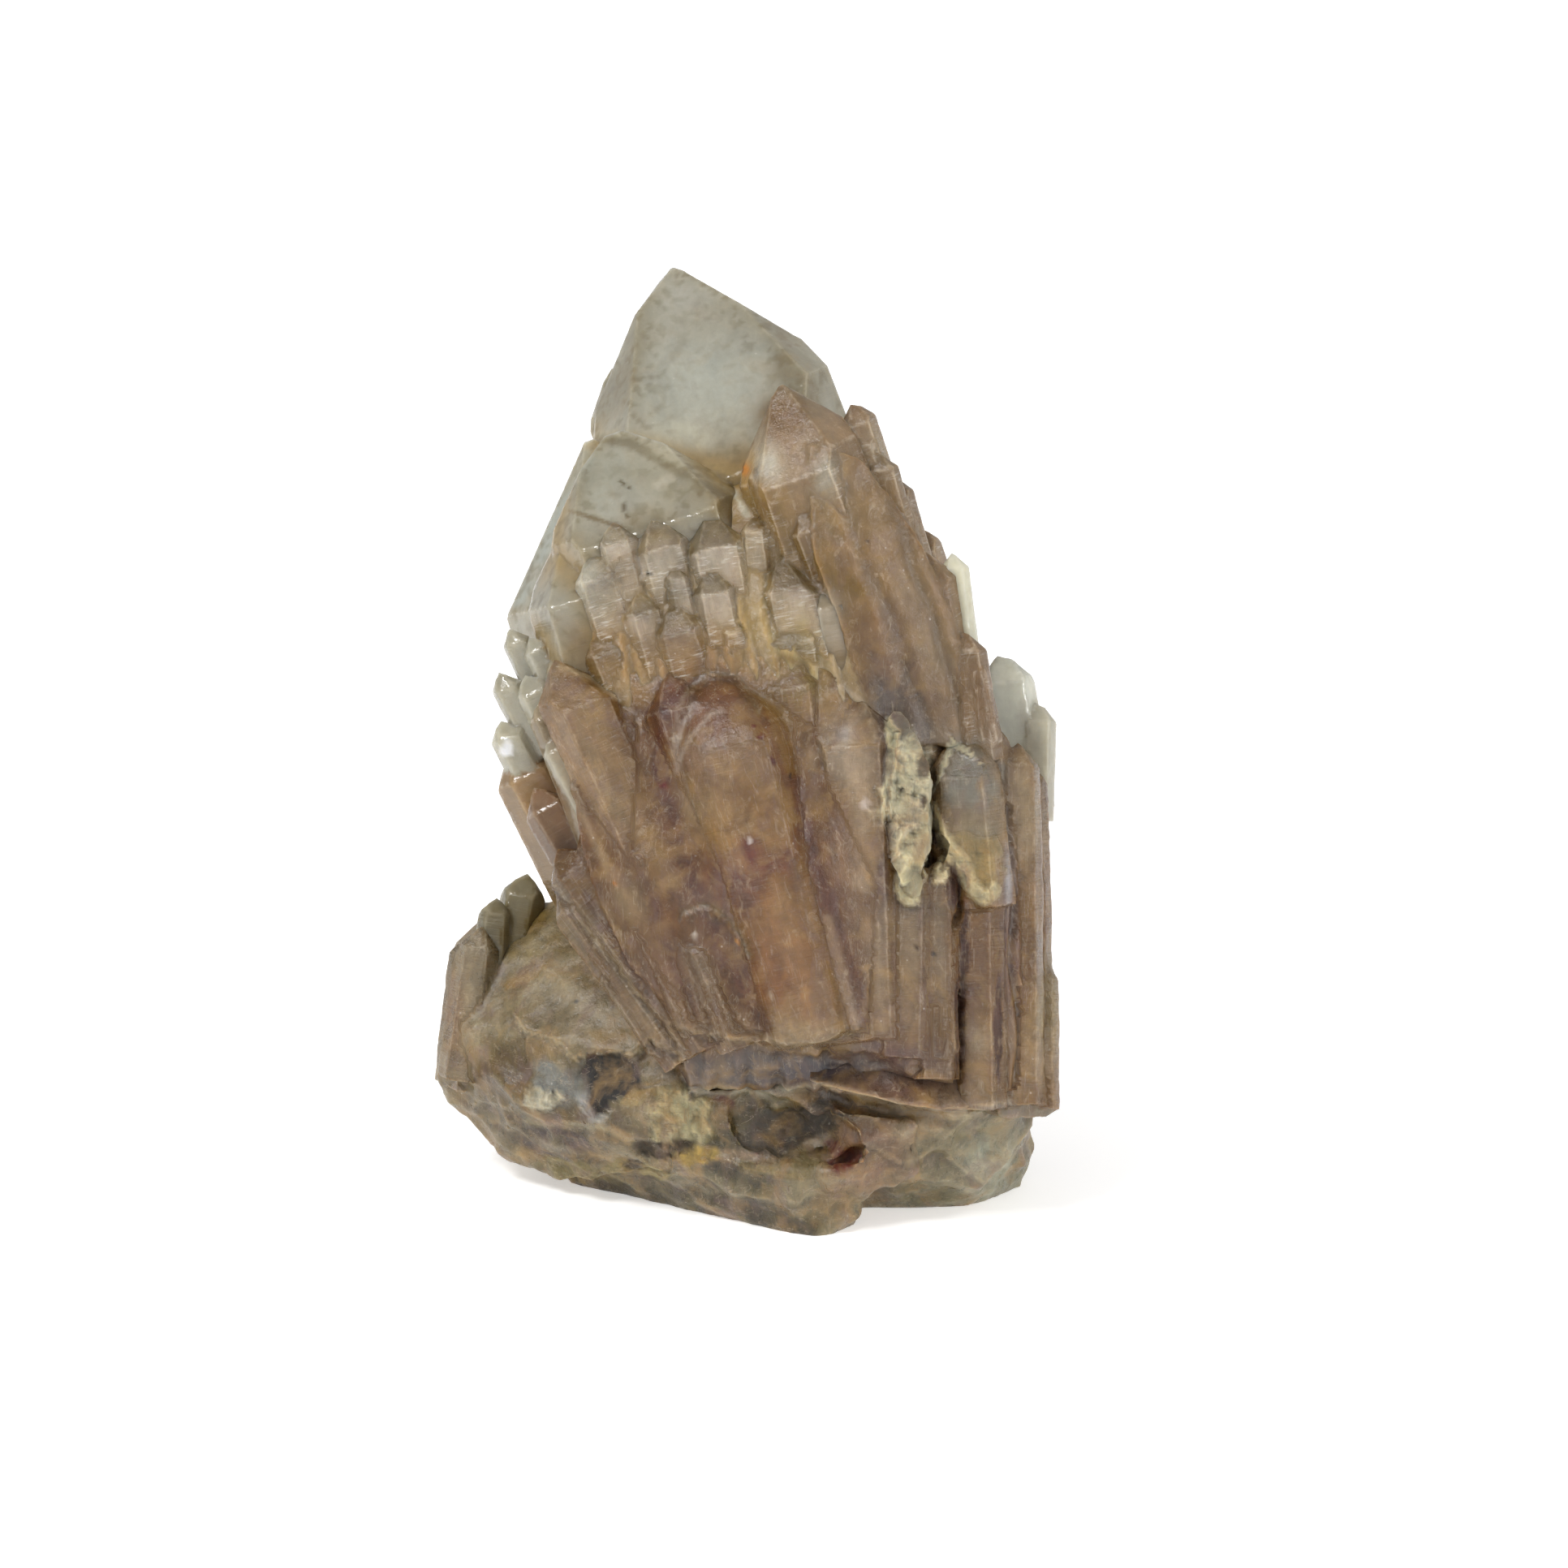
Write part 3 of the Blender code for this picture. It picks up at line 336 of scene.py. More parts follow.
# Broken hollows: middle, half sizes (across, up, out) and turn about the line of sight in degrees
HOLLOWS = {
    "under_ledge": ((3.4, 13.0, 13.8), (9.5, 1.3, 2.0), -2),
    "lens": ((2.6, 8.1, 11.4), (6.0, 2.5, 2.8), -22),
    "crevice": ((14.1, 31, 10.6), (0.35, 1.8, 1.6), 16),
    "notch": ((13.4, 35.8, 9.6), (0.3, 1.2, 1.6), 0),
    "pocket": ((6.9, 5.9, 10.6), (1.5, 0.5, 1.5), 30),
    "gap": ((15.85, 25.6, 13), (0.5, 3.0, 2.6), -2),
}


def axes_of(tip, root):
    """A crystal's own up, right and front, with the front as near to the viewer as it can be."""
    up = (tip - root).normalized()
    right = Vector((1, 0, 0))
    right = (right - right.dot(up) * up).normalized()
    return up, right, right.cross(up)


def planes_of(
    tip, root, width, rng, thick=THICKNESS, roll=None, taper=TAPER, offset=(0, 0), further=None, cut=None,
    two_tips=False,
):
    """The (kind, normal, distance) planes of a six-sided crystal from its root to its pointed tip.

    offset moves the prism to the right and to the front under its tip, in millimetres. further
    moves the six tip faces outwards, in millimetres, from the front right one round by the front.
    cut is a broken or stunted tip: how far down, how far tilted, and to which side (0 right, 90
    front). taper narrows the prism upwards, in degrees. two_tips points the root as well.
    """
    up, right, front = axes_of(tip, root)
    turn = math.radians(ROLL + rng.uniform(-1, 1) * ROLL_SPREAD if roll is None else roll)
    lean = math.radians(taper)
    radius = width / 2
    middle = right * offset[0] + front * offset[1]
    shoulder = tip + middle - up * radius * CORNER * math.tan(TIP_NORMAL)
    planes = [(END, -up, -up.dot(root))]
    for k in range(SIDES):
        angle = turn + k * math.tau / SIDES
        outward = right * math.cos(angle) + front * math.sin(angle)
        reach = radius * CORNER * math.hypot(math.cos(angle), thick * math.sin(angle))
        wall = outward * math.cos(lean) + up * math.sin(lean)
        planes.append((SIDE, wall, wall.dot(shoulder + outward * reach)))
        face = outward * math.sin(TIP_NORMAL) + up * math.cos(TIP_NORMAL)
        lesser = rng.uniform(*MINOR_FACE) * radius * (k % 2 == 0)
        planes.append((CAP, face, face.dot(tip) + (further[k] if further else lesser)))
        if two_tips:
            face = outward * math.sin(TIP_NORMAL) - up * math.cos(TIP_NORMAL)
            planes.append((END, face, face.dot(root)))
    if cut:
        down, tilt, side = cut[0], math.radians(cut[1]), math.radians(cut[2])
        sideways = right * math.cos(side) + front * math.sin(side)
        flat = up * math.cos(tilt) + sideways * math.sin(tilt)
        planes.append((CAP, flat, flat.dot(tip - up * down)))
    return planes


SIDE, CAP, END, BROKEN = range(4)  # the kinds of face


class Form:
    """A convex form that grew or broke: its planes, its own axes and a box round it."""

    def __init__(self, name, group, tip, root, width, planes, margin):
        self.name, self.group, self.width = name, group, width
        self.tip = np.array(tip)
        self.axes = [np.array(axis) for axis in axes_of(tip, root)]
        self.kinds = np.array([kind for kind, _, _ in planes])
        self.normals = np.array([normal for _, normal, _ in planes])
        self.reach = np.array([distance for _, _, distance in planes])
        self.low = np.minimum(tip, root) - margin
        self.high = np.maximum(tip, root) + margin


def buds_of(tip, root, width, count, spread, rng, thick=THICKNESS, offset=(0, 0)):
    """(tip, root, width) of smaller crystals that stand against the back of a larger one."""
    up, right, front = axes_of(tip, root)
    length = (tip - root).length
    middle = tip + right * offset[0] + front * offset[1]
    made = []
    for k in range(count):
        angle = math.radians(spread) * (2 * (k + 0.5 + rng.uniform(-BUD_JITTER, BUD_JITTER)) / count - 1)
        outward = right * math.sin(angle) - front * math.cos(angle) * thick
        bud = width * rng.uniform(*BUD_WIDTH)
        top = middle - up * length * rng.uniform(*BUD_DROP) + outward * width * BUD_ASIDE
        foot = top - up * min(length * BUD_LENGTH[0], bud * BUD_LENGTH[1]) - outward * width * BUD_SUNK
        made.append((top, foot, bud))
    return made


def grown_crystals():
    """Every crystal as a Form."""
    rng = random.Random(7)
    made = []
    tables = {
        "crown": CROWNS, "ridge": RIDGE, "row": MIDDLE_ROW, "left": LEFT_POINTS, "column": COLUMNS,
        "lobe": LEFT_LOBE, "back": BACK,
    }
    for group, table in tables.items():
        for name, (tip, root, width, habit) in table.items():
            tip, root = seen(tip), seen(root)
            if group == "row":
                width *= ROW_SWELL
                habit = {"roll": rng.uniform(*ROW_ROLL), **habit}
            shift = max(abs(x) for x in habit.get("offset", (0, 0)))
            planes = planes_of(tip, root, width, rng, **habit)
            if name == "crown_main":
                across, up = SLOPE_NORMAL
                slope = Vector((across, up * math.sin(VIEW_TILT), up * math.cos(VIEW_TILT)))
                planes.append((CAP, slope, slope.dot(seen(SLOPE_POINT))))
            room = width * CRYSTAL_ROOM[0] + shift + CRYSTAL_ROOM[1]
            made.append(Form(name, group, tip, root, width, planes, room))
            shape = {key: habit[key] for key in ("thick", "offset") if key in habit}
            buds = buds_of(tip, root, width, *BUDS[name], rng, **shape) if name in BUDS else []
            for k, bud in enumerate(buds):
                planes = planes_of(*bud, rng, two_tips=True)
                room = bud[2] * BUD_ROOM[0] + BUD_ROOM[1]
                made.append(Form(f"{name}_bud_{k}", group, *bud, planes, room))
    return made + slivers()


def slivers():
    """The thin crystals along the larger ones, as Forms."""
    rng = random.Random(19)
    made = []
    for group, table in (("column", COLUMNS), ("ridge", RIDGE), ("back", BACK)):
        for name, (tip, root, width, habit) in table.items():
            if width <= SLIVER_HOST or name in BROAD:
                continue
            for k, sliver in enumerate(slivers_of(seen(tip), seen(root), width, habit, group, rng)):
                planes = planes_of(*sliver, rng, roll=rng.uniform(0, 60), two_tips=True)
                room = sliver[2] * SLIVER_ROOM[0] + SLIVER_ROOM[1]
                made.append(Form(f"{name}_sliver_{k}", "sliver_" + group, *sliver, planes, room))
    return made


def slivers_of(tip, root, width, habit, group, rng):
    """(tip, root, width) of thin crystals that lie along a larger one, half sunk into its faces."""
    up, right, front = axes_of(tip, root)
    length = (tip - root).length
    shift = habit.get("offset", (0, 0))
    middle = tip + right * shift[0] + front * shift[1]
    thick = habit.get("thick", THICKNESS)
    spread = 1 - math.tan(math.radians(habit.get("taper", TAPER))) * length / width
    made = []
    for _ in range(int(width * SLIVERS_PER_MM[group]) + 1):
        angle = math.radians(rng.uniform(-SLIVER_SPREAD, SLIVER_SPREAD))
        angle += math.pi if group == "back" else 0
        outward = right * math.sin(angle) + front * math.cos(angle) * thick
        sliver = rng.uniform(*SLIVER_WIDTH)
        down = rng.uniform(*SLIVER_DROP)
        reach = width * 0.5 * CORNER * (1 + (spread - 1) * -0.5 * down) - sliver * rng.uniform(*SLIVER_SUNK)
        top = middle - up * length * down + outward * reach
        drop = min(length * (SLIVER_END - down), sliver * rng.uniform(*SLIVER_LENGTH))
        foot = top - up * drop + outward * SLIVER_LEAN
        made.append((top, foot, sliver))
    return made


def hull_of(points):
    """A bmesh of the convex hull of these points."""
    shape = bmesh.new()
    for point in points:
        shape.verts.new(point)
    bmesh.ops.remove_doubles(shape, verts=shape.verts, dist=0.02)
    made = bmesh.ops.convex_hull(shape, input=shape.verts)
    inner = made["geom_interior"] + made["geom_unused"]
    bmesh.ops.delete(shape, geom=[v for v in set(inner) if isinstance(v, bmesh.types.BMVert)])
    bmesh.ops.dissolve_limit(shape, angle_limit=math.radians(0.3), verts=shape.verts, edges=shape.edges)
    bmesh.ops.recalc_face_normals(shape, faces=shape.faces)
    return shape


def lump(name, points, is_rounded):
    """A Form of broken quartz through roughly these points."""
    above = [seen(p) for p in points]
    under = [p - Vector((0, 0, BELOW)) for p in above if p.z < 0.1] if is_rounded else []
    shape = hull_of(above + under)
    if is_rounded:
        mesh = bpy.data.meshes.new(name)
        shape.to_mesh(mesh)
        shape.free()
        edges = mesh.attributes.new("crease_edge", "FLOAT", "EDGE")
        edges.data.foreach_set("value", [EDGE_HARDNESS] * len(mesh.edges))
        helper = bpy.data.objects.new(name, mesh)
        helper.modifiers.new("round", "SUBSURF").levels = 2
        bpy.context.scene.collection.objects.link(helper)
        evaluated = helper.evaluated_get(bpy.context.evaluated_depsgraph_get()).to_mesh()
        points = [v.co.copy() for v in evaluated.vertices]
        bpy.data.objects.remove(helper)
        shape = hull_of(points)
    planes = [(BROKEN, face.normal.copy(), face.normal.dot(face.verts[0].co)) for face in shape.faces]
    points = np.array([v.co for v in shape.verts])
    shape.free()
    middle = Vector(points.mean(0))
    form = Form(name, "lump", middle + Vector((0, 0, 1)), middle, 1, planes, 0)
    form.low, form.high = points.min(0) - 2, points.max(0) + 2
    return form


class Field:
    """Distances in millimetres on a regular grid, below zero inside the quartz."""

    def __init__(self, low, high, step):
        self.step = step
        self.low = np.array(low, float)
        self.shape = tuple(np.ceil((np.array(high) - self.low) / step).astype(int) + 1)
        self.weights = {}
        self.nearest = np.full(self.shape, 9, np.float32)
        self.sharp = np.full(self.shape, 9, np.float32)
        self.facet = np.zeros(self.shape, np.int32)
        self.normals = [np.zeros((1, 3))]

    def block(self, low, high):
        """The slices of the grid inside a box, and the three coordinates there, ready to broadcast."""
        first = np.clip(np.floor((low - self.low) / self.step).astype(int), 0, self.shape)
        last = np.clip(np.ceil((high - self.low) / self.step).astype(int) + 1, 0, self.shape)
        slices = tuple(slice(a, b) for a, b in zip(first, last))
        axes = [
            (np.arange(a, b, dtype=np.float32) * self.step + start).reshape(spread)
            for a, b, start, spread in zip(first, last, self.low, ((-1, 1, 1), (1, -1, 1), (1, 1, -1)))
        ]
        return slices, axes

    def cloud(self, period, seed):
        """Smooth random values from -1 to 1 all over the grid, about one swell for each period."""
        rng = np.random.default_rng(seed)
        values = rng.uniform(-1, 1, [int(n * self.step / period) + 3 for n in self.shape])
        for axis, n in enumerate(self.shape):
            where = np.arange(n) * self.step / period
            knot = where.astype(int)
            part = (where - knot).reshape([-1 if k == axis else 1 for k in range(3)])
            part = part * part * (3 - 2 * part)
            below = np.take(values, knot, axis)
            values = (below + (np.take(values, knot + 1, axis) - below) * part).astype(np.float32)
        return values

    def grow(self, form, wear, heal, relief):
        """Joins a form. wear is about the radius of its worn edges, heal that of its grooves."""
        slices, (x, y, z) = self.block(form.low, form.high)
        if 0 in self.facet[slices].shape:
            return
        first = sum(len(n) for n in self.normals)
        self.normals.append(form.normals)
        sharp = np.full(self.facet[slices].shape, -99, np.float32)
        facet = np.zeros(sharp.shape, np.int32)
        total = 0
        for k, (n, d) in enumerate(zip(form.normals, form.reach)):
            height = n[0] * x + n[1] * y + n[2] * z - np.float32(d)
            facet[height > sharp] = first + k
            np.maximum(sharp, height, out=sharp)
            if wear:
                total = total + np.exp(np.clip(height / np.float32(wear), -60, 60))
        swell = relief(form, slices, x, y, z)
        value = (np.log(total) * np.float32(wear) if wear else sharp) + swell
        closer = value < self.nearest[slices]
        self.nearest[slices][closer] = value[closer]
        self.sharp[slices][closer] = (sharp + swell)[closer]
        self.facet[slices][closer] = facet[closer]
        weight = self.weights.setdefault(heal, np.zeros(self.shape, np.float32))
        weight[slices] += np.exp(-np.clip(value, -4, 4) / np.float32(heal))

    def close(self, heal=0.15):
        """Ends the joining: from here on value holds the distances."""
        total = 0
        with np.errstate(divide="ignore"):
            for size, weight in self.weights.items():
                part = np.clip(-np.log(weight) * np.float32(size), -4, 4)
                total = total + np.exp(-part / np.float32(heal))
            self.value = np.minimum(-np.log(total) * np.float32(heal), 4)
        self.is_round = np.abs(self.value - self.sharp) > ROUND_FROM
        del self.weights, self.nearest, self.sharp
        self.normals = np.concatenate(self.normals)

    def carve(self, middle, half, turn, ragged, edge=0.2):
        """Takes an ellipsoid out: half sizes (across, up, out), turned about the line of sight."""
        reach = max(half) + 2
        centre = seen(middle)
        slices, (x, y, z) = self.block(np.array(centre) - reach, np.array(centre) + reach)
        facing = Matrix.Rotation(-VIEW_TILT, 3, "X") @ Matrix.Rotation(-math.radians(turn), 3, "Y")
        sized, steeper = 0, 0
        for row, size in zip(facing.transposed(), (half[0], half[2], half[1])):
            along = row[0] * (x - centre[0]) + row[1] * (y - centre[1]) + row[2] * (z - centre[2])
            sized = sized + (along / size) ** 2
            steeper = steeper + (along / size**2) ** 2
        k = np.sqrt(sized)
        inside = k * (k - 1) / np.sqrt(steeper + 1e-9) + ragged[slices]
        top = np.maximum(self.value[slices], -inside)
        apart = np.clip(edge - np.abs(self.value[slices] + inside), 0, None)
        self.is_round[slices] |= -inside > self.value[slices] - edge
        self.value[slices] = top + apart * apart / (4 * edge)


def surface_of(field):
    """The points and four-sided faces of the surface where the field crosses zero.

    Each point lies where the facets that cross its grid cell meet, so that edges stay straight.
    """
    value, step, shape = field.value, field.step, field.shape
    inside = value < 0
    limit = np.array(shape) - 1
    quads, crossings, normals, heights = [], [], [], []
    for axis in range(3):
        one = np.zeros(3, int)
        one[axis] = 1
        near = tuple(slice(0, -1) if k == axis else slice(1, -1) for k in range(3))
        far = tuple(slice(1, None) if k == axis else slice(1, -1) for k in range(3))
        start = np.argwhere(inside[near] != inside[far]) + (1 - one)
        a = value[tuple(start.T)]
        b = value[tuple((start + one).T)]
        crossings.append(start + (a / (a - b))[:, None] * one)
        closest = np.where((np.abs(a) < np.abs(b))[:, None], start, start + one)
        normal = field.normals[field.facet[tuple(closest.T)]].copy()
        slope = np.ones(len(normal))
        blended = np.flatnonzero(field.is_round[tuple(closest.T)])
        at = closest[blended]
        steepest = np.stack([
            value[tuple(np.minimum(at + e, limit).T)] - value[tuple(np.maximum(at - e, 0).T)]
            for e in np.eye(3, dtype=int)
        ], 1) / (2 * step)
        slope[blended] = np.maximum(np.linalg.norm(steepest, axis=1), 0.2)
        normal[blended] = steepest / slope[blended][:, None]
        normals.append(normal)
        heights.append((normal * closest).sum(1) - value[tuple(closest.T)] / step / slope)
        u, w = np.roll(one, 1), np.roll(one, 2)
        around = [start - u - w, start - w, start, start - u]
        cells = np.stack([np.ravel_multi_index(tuple(c.T), shape) for c in around], 1)
        quads.append(np.where((a < 0)[:, None], cells, cells[:, ::-1]))
    quads = np.concatenate(quads)
    _, faces = np.unique(quads, return_inverse=True)
    faces = faces.reshape(-1, 4)
    cells = faces.ravel()
    count = np.bincount(cells)

    def gathered(values):
        """The mean of these values over the crossings round each cell."""
        return np.bincount(cells, np.repeat(values, 4)) / count

    crossings, normals = np.concatenate(crossings), np.concatenate(normals)
    heights = np.concatenate(heights)
    middle = np.stack([gathered(crossings[:, k]) for k in range(3)], 1)
    square = np.stack(
        [gathered(normals[:, j] * normals[:, k]) for j in range(3) for k in range(3)], 1
    ).reshape(-1, 3, 3)
    pull = np.stack([gathered(normals[:, k] * heights) for k in range(3)], 1)
    away = pull - np.einsum("nij,nj->ni", square, middle)
    square += np.eye(3) * SOFT_EDGE
    move = np.linalg.solve(square, away[:, :, None])[:, :, 0]
    far = np.linalg.norm(move, axis=1, keepdims=True)
    move *= np.minimum(1, FURTHEST / np.maximum(far, 1e-9))
    return (middle + move) * step + field.low, faces


ROUND_FROM = 0.05  # mm between a blended surface and its facet, from which the blend's slope counts
SOFT_EDGE = 0.04  # how strongly a point stays in the middle of its crossings, against the facets
FURTHEST = 0.8  # of a grid step that a point moves to reach its edge


def survey(forms, points):
    """For each point: the form whose surface it lies on, and where on that form it lies."""
    n = len(points)
    best, second = np.full(n, 9.0), np.full(n, 9.0)
    found = dict(
        form=np.zeros(n, int), kind=np.full(n, BROKEN), face=np.zeros(n, int), edge=np.zeros(n),
        own=np.zeros((n, 3)),
    )
    for k, form in enumerate(forms):
        near = np.flatnonzero(((points > form.low) & (points < form.high)).all(1))
        if not len(near):
            continue
        at = points[near]
        heights = at @ form.normals.T - form.reach
        face = heights.argmax(1)
        rows = np.arange(len(near))
        value = heights[rows, face]
        heights[rows, face] = -99
        next_face = heights.max(1)
        up, right, front = form.axes
        own = np.stack([(at - form.tip) @ right, (at - form.tip) @ front, (form.tip - at) @ up], 1)
        closer = value < best[near]
        middling = ~closer & (value < second[near])
        second[near[closer]] = best[near[closer]]
        second[near[middling]] = value[middling]
        won = near[closer]
        best[won] = value[closer]
        found["form"][won] = k
        found["kind"][won] = form.kinds[face[closer]]
        found["face"][won] = face[closer]
        found["edge"][won] = (value - next_face)[closer]
        found["own"][won] = own[closer]
    found["crease"] = np.clip(second - best, 0, 3)
    found["best"] = best
    return found


# Quartz that fills the grooves between the crystals, so that they stand out only a little
WEBS = {
    "fan_web": [
        (-14.4, 41, 8.8), (-9.6, 43.6, 10), (-4, 45, 10.8), (2, 45, 10.8), (6, 43.6, 10.8), (9.6, 38, 10.4),
        (-9, 38.4, 11.4), (-3.6, 38.4, 13.4), (2, 38.6, 13), (6.3, 37.4, 12.8), (-13.4, 29, 11.2),
        (-7, 28, 13.8), (0, 28, 16.1), (5.4, 28, 15.3), (9.2, 27, 14.1), (-9.8, 21, 12.3), (-6, 17.4, 13.1),
        (-2, 16.4, 14.7), (2, 15.6, 15.9), (5, 15.4, 15.8), (8.6, 16, 15.1), (-5, 16, 6), (8, 15, 6),
        (-12, 38, 4), (8, 38, 4),
    ],
    "row_web": [
        (-12.6, 49, 7.9), (-8, 51.4, 8.2), (-3.6, 51.8, 8.2), (1.5, 51, 8.3), (3.5, 49.6, 9.4),
        (-12.6, 44, 9), (-6, 46, 10.5), (-2, 47, 10), (3, 45.2, 10.8), (6.8, 46, 9.8), (8.6, 44, 9.8),
        (9.2, 39, 10.2), (-10.8, 41, 10.3), (-5, 42, 11.6), (0, 42, 11.8), (5.6, 41, 11.6), (-9.6, 37, 9.6),
        (0, 37, 11), (5.6, 37, 11), (-10, 50, 4), (4, 50, 4), (-9, 41, 4), (5, 40, 4),
    ],
    "ridge_web": [
        (4.0, 61, 8.0), (8.4, 60, 7.6), (11.4, 55.8, 7.4), (14.2, 50.6, 7.9), (16.4, 44, 8.1),
        (17.6, 38, 7.8), (4.4, 53, 10.2), (9.4, 49, 10.4), (12.6, 43, 9.9), (10.2, 38, 10.2),
        (8.2, 43, 10.8), (15, 37.6, 9.1), (6, 56, 2), (16, 44, 2), (15, 37, 2), (8, 40, 2),
    ],
    "brow": [
        (-1.8, 59.2, -0.2), (1.4, 59.4, 1.4), (-3.0, 56.6, 3.8), (2.2, 56.6, 5.6), (-1.8, 53, 6.6),
        (3, 53, 6.8), (-1, 58, -3), (2, 53, -1), (-3, 54, 0),
    ],
    "right_web": [
        (18.2, 34, 8.2), (21, 34, 6), (15.4, 27, 10.6), (18.4, 26, 10), (21.6, 24, 6.6), (18.4, 12, 11),
        (21.8, 12, 8.2), (19, 11.4, 10.4), (15, 20, 10.4), (18, 20, 2), (21, 14, 2), (21, 32, 2),
        (17, 33, 2),
    ],
    "chalk_mass": [
        (9.6, 38.4, 11.4), (11.0, 39.8, 11.0), (12.8, 36.8, 11.8), (13.2, 33.2, 12.3), (12.9, 30.0, 12.9),
        (12.2, 26.8, 13.3), (10.6, 29.4, 13.5), (9.9, 33, 13.1), (9.5, 36, 12.7), (11, 38, 6),
        (12.6, 31, 6), (10, 31, 6),
    ],
    "foot_bulge": [
        (6.2, 10, 11.2), (9.4, 9.6, 11.4), (12.2, 8.6, 10.4), (12.4, 5.2, 8.8), (10.4, 3.6, 8.4),
        (8.2, 3.0, 9.2), (5.8, 3.4, 10.6), (4.6, 6, 11.4), (7.6, 7, 11.8), (6, 10, 4), (12, 8, 3),
        (11, 4.4, 1), (5, 4, 2),
    ],
    "skirt": [
        (4.2, 12.0, 12.6), (10.7, 10.3, 13.3), (14.7, 9.4, 13), (18.6, 10.1, 11.6), (18.6, 12.5, 10),
        (14, 13, 11.4), (8, 13.6, 11.6), (4.4, 13.1, 11), (5, 12, 6), (18, 10.4, 5), (12, 9.8, 6),
    ],
}
# Clear crystals of the other groups
CLEAR_NAMES = {
    "ridge_needle", "right_pale_1", "right_pale_2", "row_11", "row_17", "lobe_spike", "lobe_spike_2",
}
# Lumps that belong to each piece; the crystals go by their group
PIECES = {
    "columns": {
        "fan", "right_side", "right_block", "chalk", "right_foot", "fan_web", "right_web", "chalk_mass",
    },
    "rows": {"heart", "belt", "row_web", "ridge_web", "brow"},
    "base": {"lobe_body", "foot_left", "foot_right", "foot_back", "skirt", "foot_bulge"},
}


def piece_of(form):
    """The name of the piece that a form goes into."""
    if form.group in ("crown", "left") or form.name in CLEAR_NAMES:
        return "clear_quartz"
    if form.group == "lump":
        return next(piece for piece, names in PIECES.items() if form.name in names)
    group = form.group.removeprefix("sliver_")
    return {"column": "columns", "row": "rows", "ridge": "rows", "lobe": "base", "back": "back"}[group]


# group: (worn edge, healed groove, lengthwise ribs, cross steps, swell), in mm
HABITS = {
    "crown": (0, 0.07, 0.01, 0.01, 0.02),
    "ridge": (0, 0.12, 0.02, 0.02, 0.06),
    "row": (0, 0.14, 0.02, 0.04, 0.03),
    "left": (0, 0.07, 0.02, 0.03, 0.04),
    "column": (0.06, 0.25, 0.05, 0.04, 0.12),
    "lobe": (0.05, 0.2, 0.05, 0.03, 0.15),
    "back": (0.04, 0.2, 0.08, 0.05, 0.15),
    "lump": (0.1, 0.5, 0, 0, 0.4),
    "sliver_column": (0, 0.1, 0, 0.02, 0.2),
    "sliver_ridge": (0, 0.1, 0, 0.02, 0.06),
    "sliver_back": (0, 0.1, 0, 0, 0.1),
}
WORN_EDGES = {"column_5": 0.6}  # the widest column is rounder than its group
CALM_WEBS = {"ridge_web": 0.12, "row_web": 0.12, "fan_web": 0.12, "right_web": 0.12}  # their swell in mm
# Ribs of a crystal: how far they turn with across and with out, pitch in mm, strength, and the length in
# mm and the strength of their sway
RIBS = ((1, 0, 1.9, 1, 5, 0.8), (0.7, 0.7, 1.2, 0.7, 3.5, 1), (0, 1, 1.5, 0.6, 4, 0.8))
RIB_HEIGHT = 0.45  # of the habit's ribs, for each of them
STEP_PITCH = 1.3  # mm from one growth step to the next


def relief_of(rough):
    """The function that gives a form's own relief: ribs along it, growth steps across it, swells."""
    def relief(form, slices, x, y, z):
        """How far the form's surface is sunk at each point of its part of the grid."""
        _, _, ribs, steps, swell = HABITS[form.group]
        out = rough[slices] * np.float32(CALM_WEBS.get(form.name, swell))
        if ribs:
            up, right, front = form.axes
            dx, dy, dz = x - form.tip[0], y - form.tip[1], z - form.tip[2]
            a = right[0] * dx + right[1] * dy + right[2] * dz
            b = front[0] * dx + front[1] * dy + front[2] * dz
            s = -(up[0] * dx + up[1] * dy + up[2] * dz)
            own = random.Random(form.name)
            p = [own.uniform(0, math.tau) for _ in range(6)]
            rib = 0
            for k, (with_a, with_b, pitch, strength, sway_length, sway) in enumerate(RIBS):
                turn = math.tau * (with_a * a + with_b * b) / pitch + p[2 * k]
                rib = rib + strength * np.sin(turn + sway * np.sin(s / sway_length + p[2 * k + 1]))
            below_tip = np.clip((s - form.width * 0.5) / (form.width * 0.3), 0, 1)
            out = out + (ribs * RIB_HEIGHT) * rib * below_tip
            step = (s / STEP_PITCH + 0.25 * np.sin(a * 1.7 + p[1])) % 1.0
            out = out + steps * (step - 0.5) * below_tip
        return out
    return relief


def field_of(forms, step):
    """One piece's field: its forms joined, its hollows broken out, and cut off flat at the floor."""
    low = np.maximum(np.min([form.low for form in forms], 0), BOX_LOW)
    high = np.minimum(np.max([form.high for form in forms], 0), BOX_HIGH)
    field = Field(low, high, step)
    rough = 0.5 * field.cloud(5.0, 1) + 0.3 * field.cloud(2.1, 2) + 0.25 * field.cloud(1.0, 3)
    relief = relief_of(rough)
    for form in forms:
        wear, heal = HABITS[form.group][:2]
        field.grow(form, WORN_EDGES.get(form.name, wear), heal, relief)
    field.close()
    ragged = 0.35 * field.cloud(1.7, 4) + 0.3 * field.cloud(0.8, 5)
    for middle, half, turn in HOLLOWS.values():
        field.carve(middle, half, turn, ragged)
    _, (_, _, z) = field.block(field.low, high + step)
    field.value = np.maximum(field.value, -z)
    return field


def linear(colour):
    """A colour from 0 to 255 a channel, as it looks, turned to linear light."""
    c = np.array(colour, float) / 255
    return np.where(c <= 0.04045, c / 12.92, ((c + 0.055) / 1.055) ** 2.4)


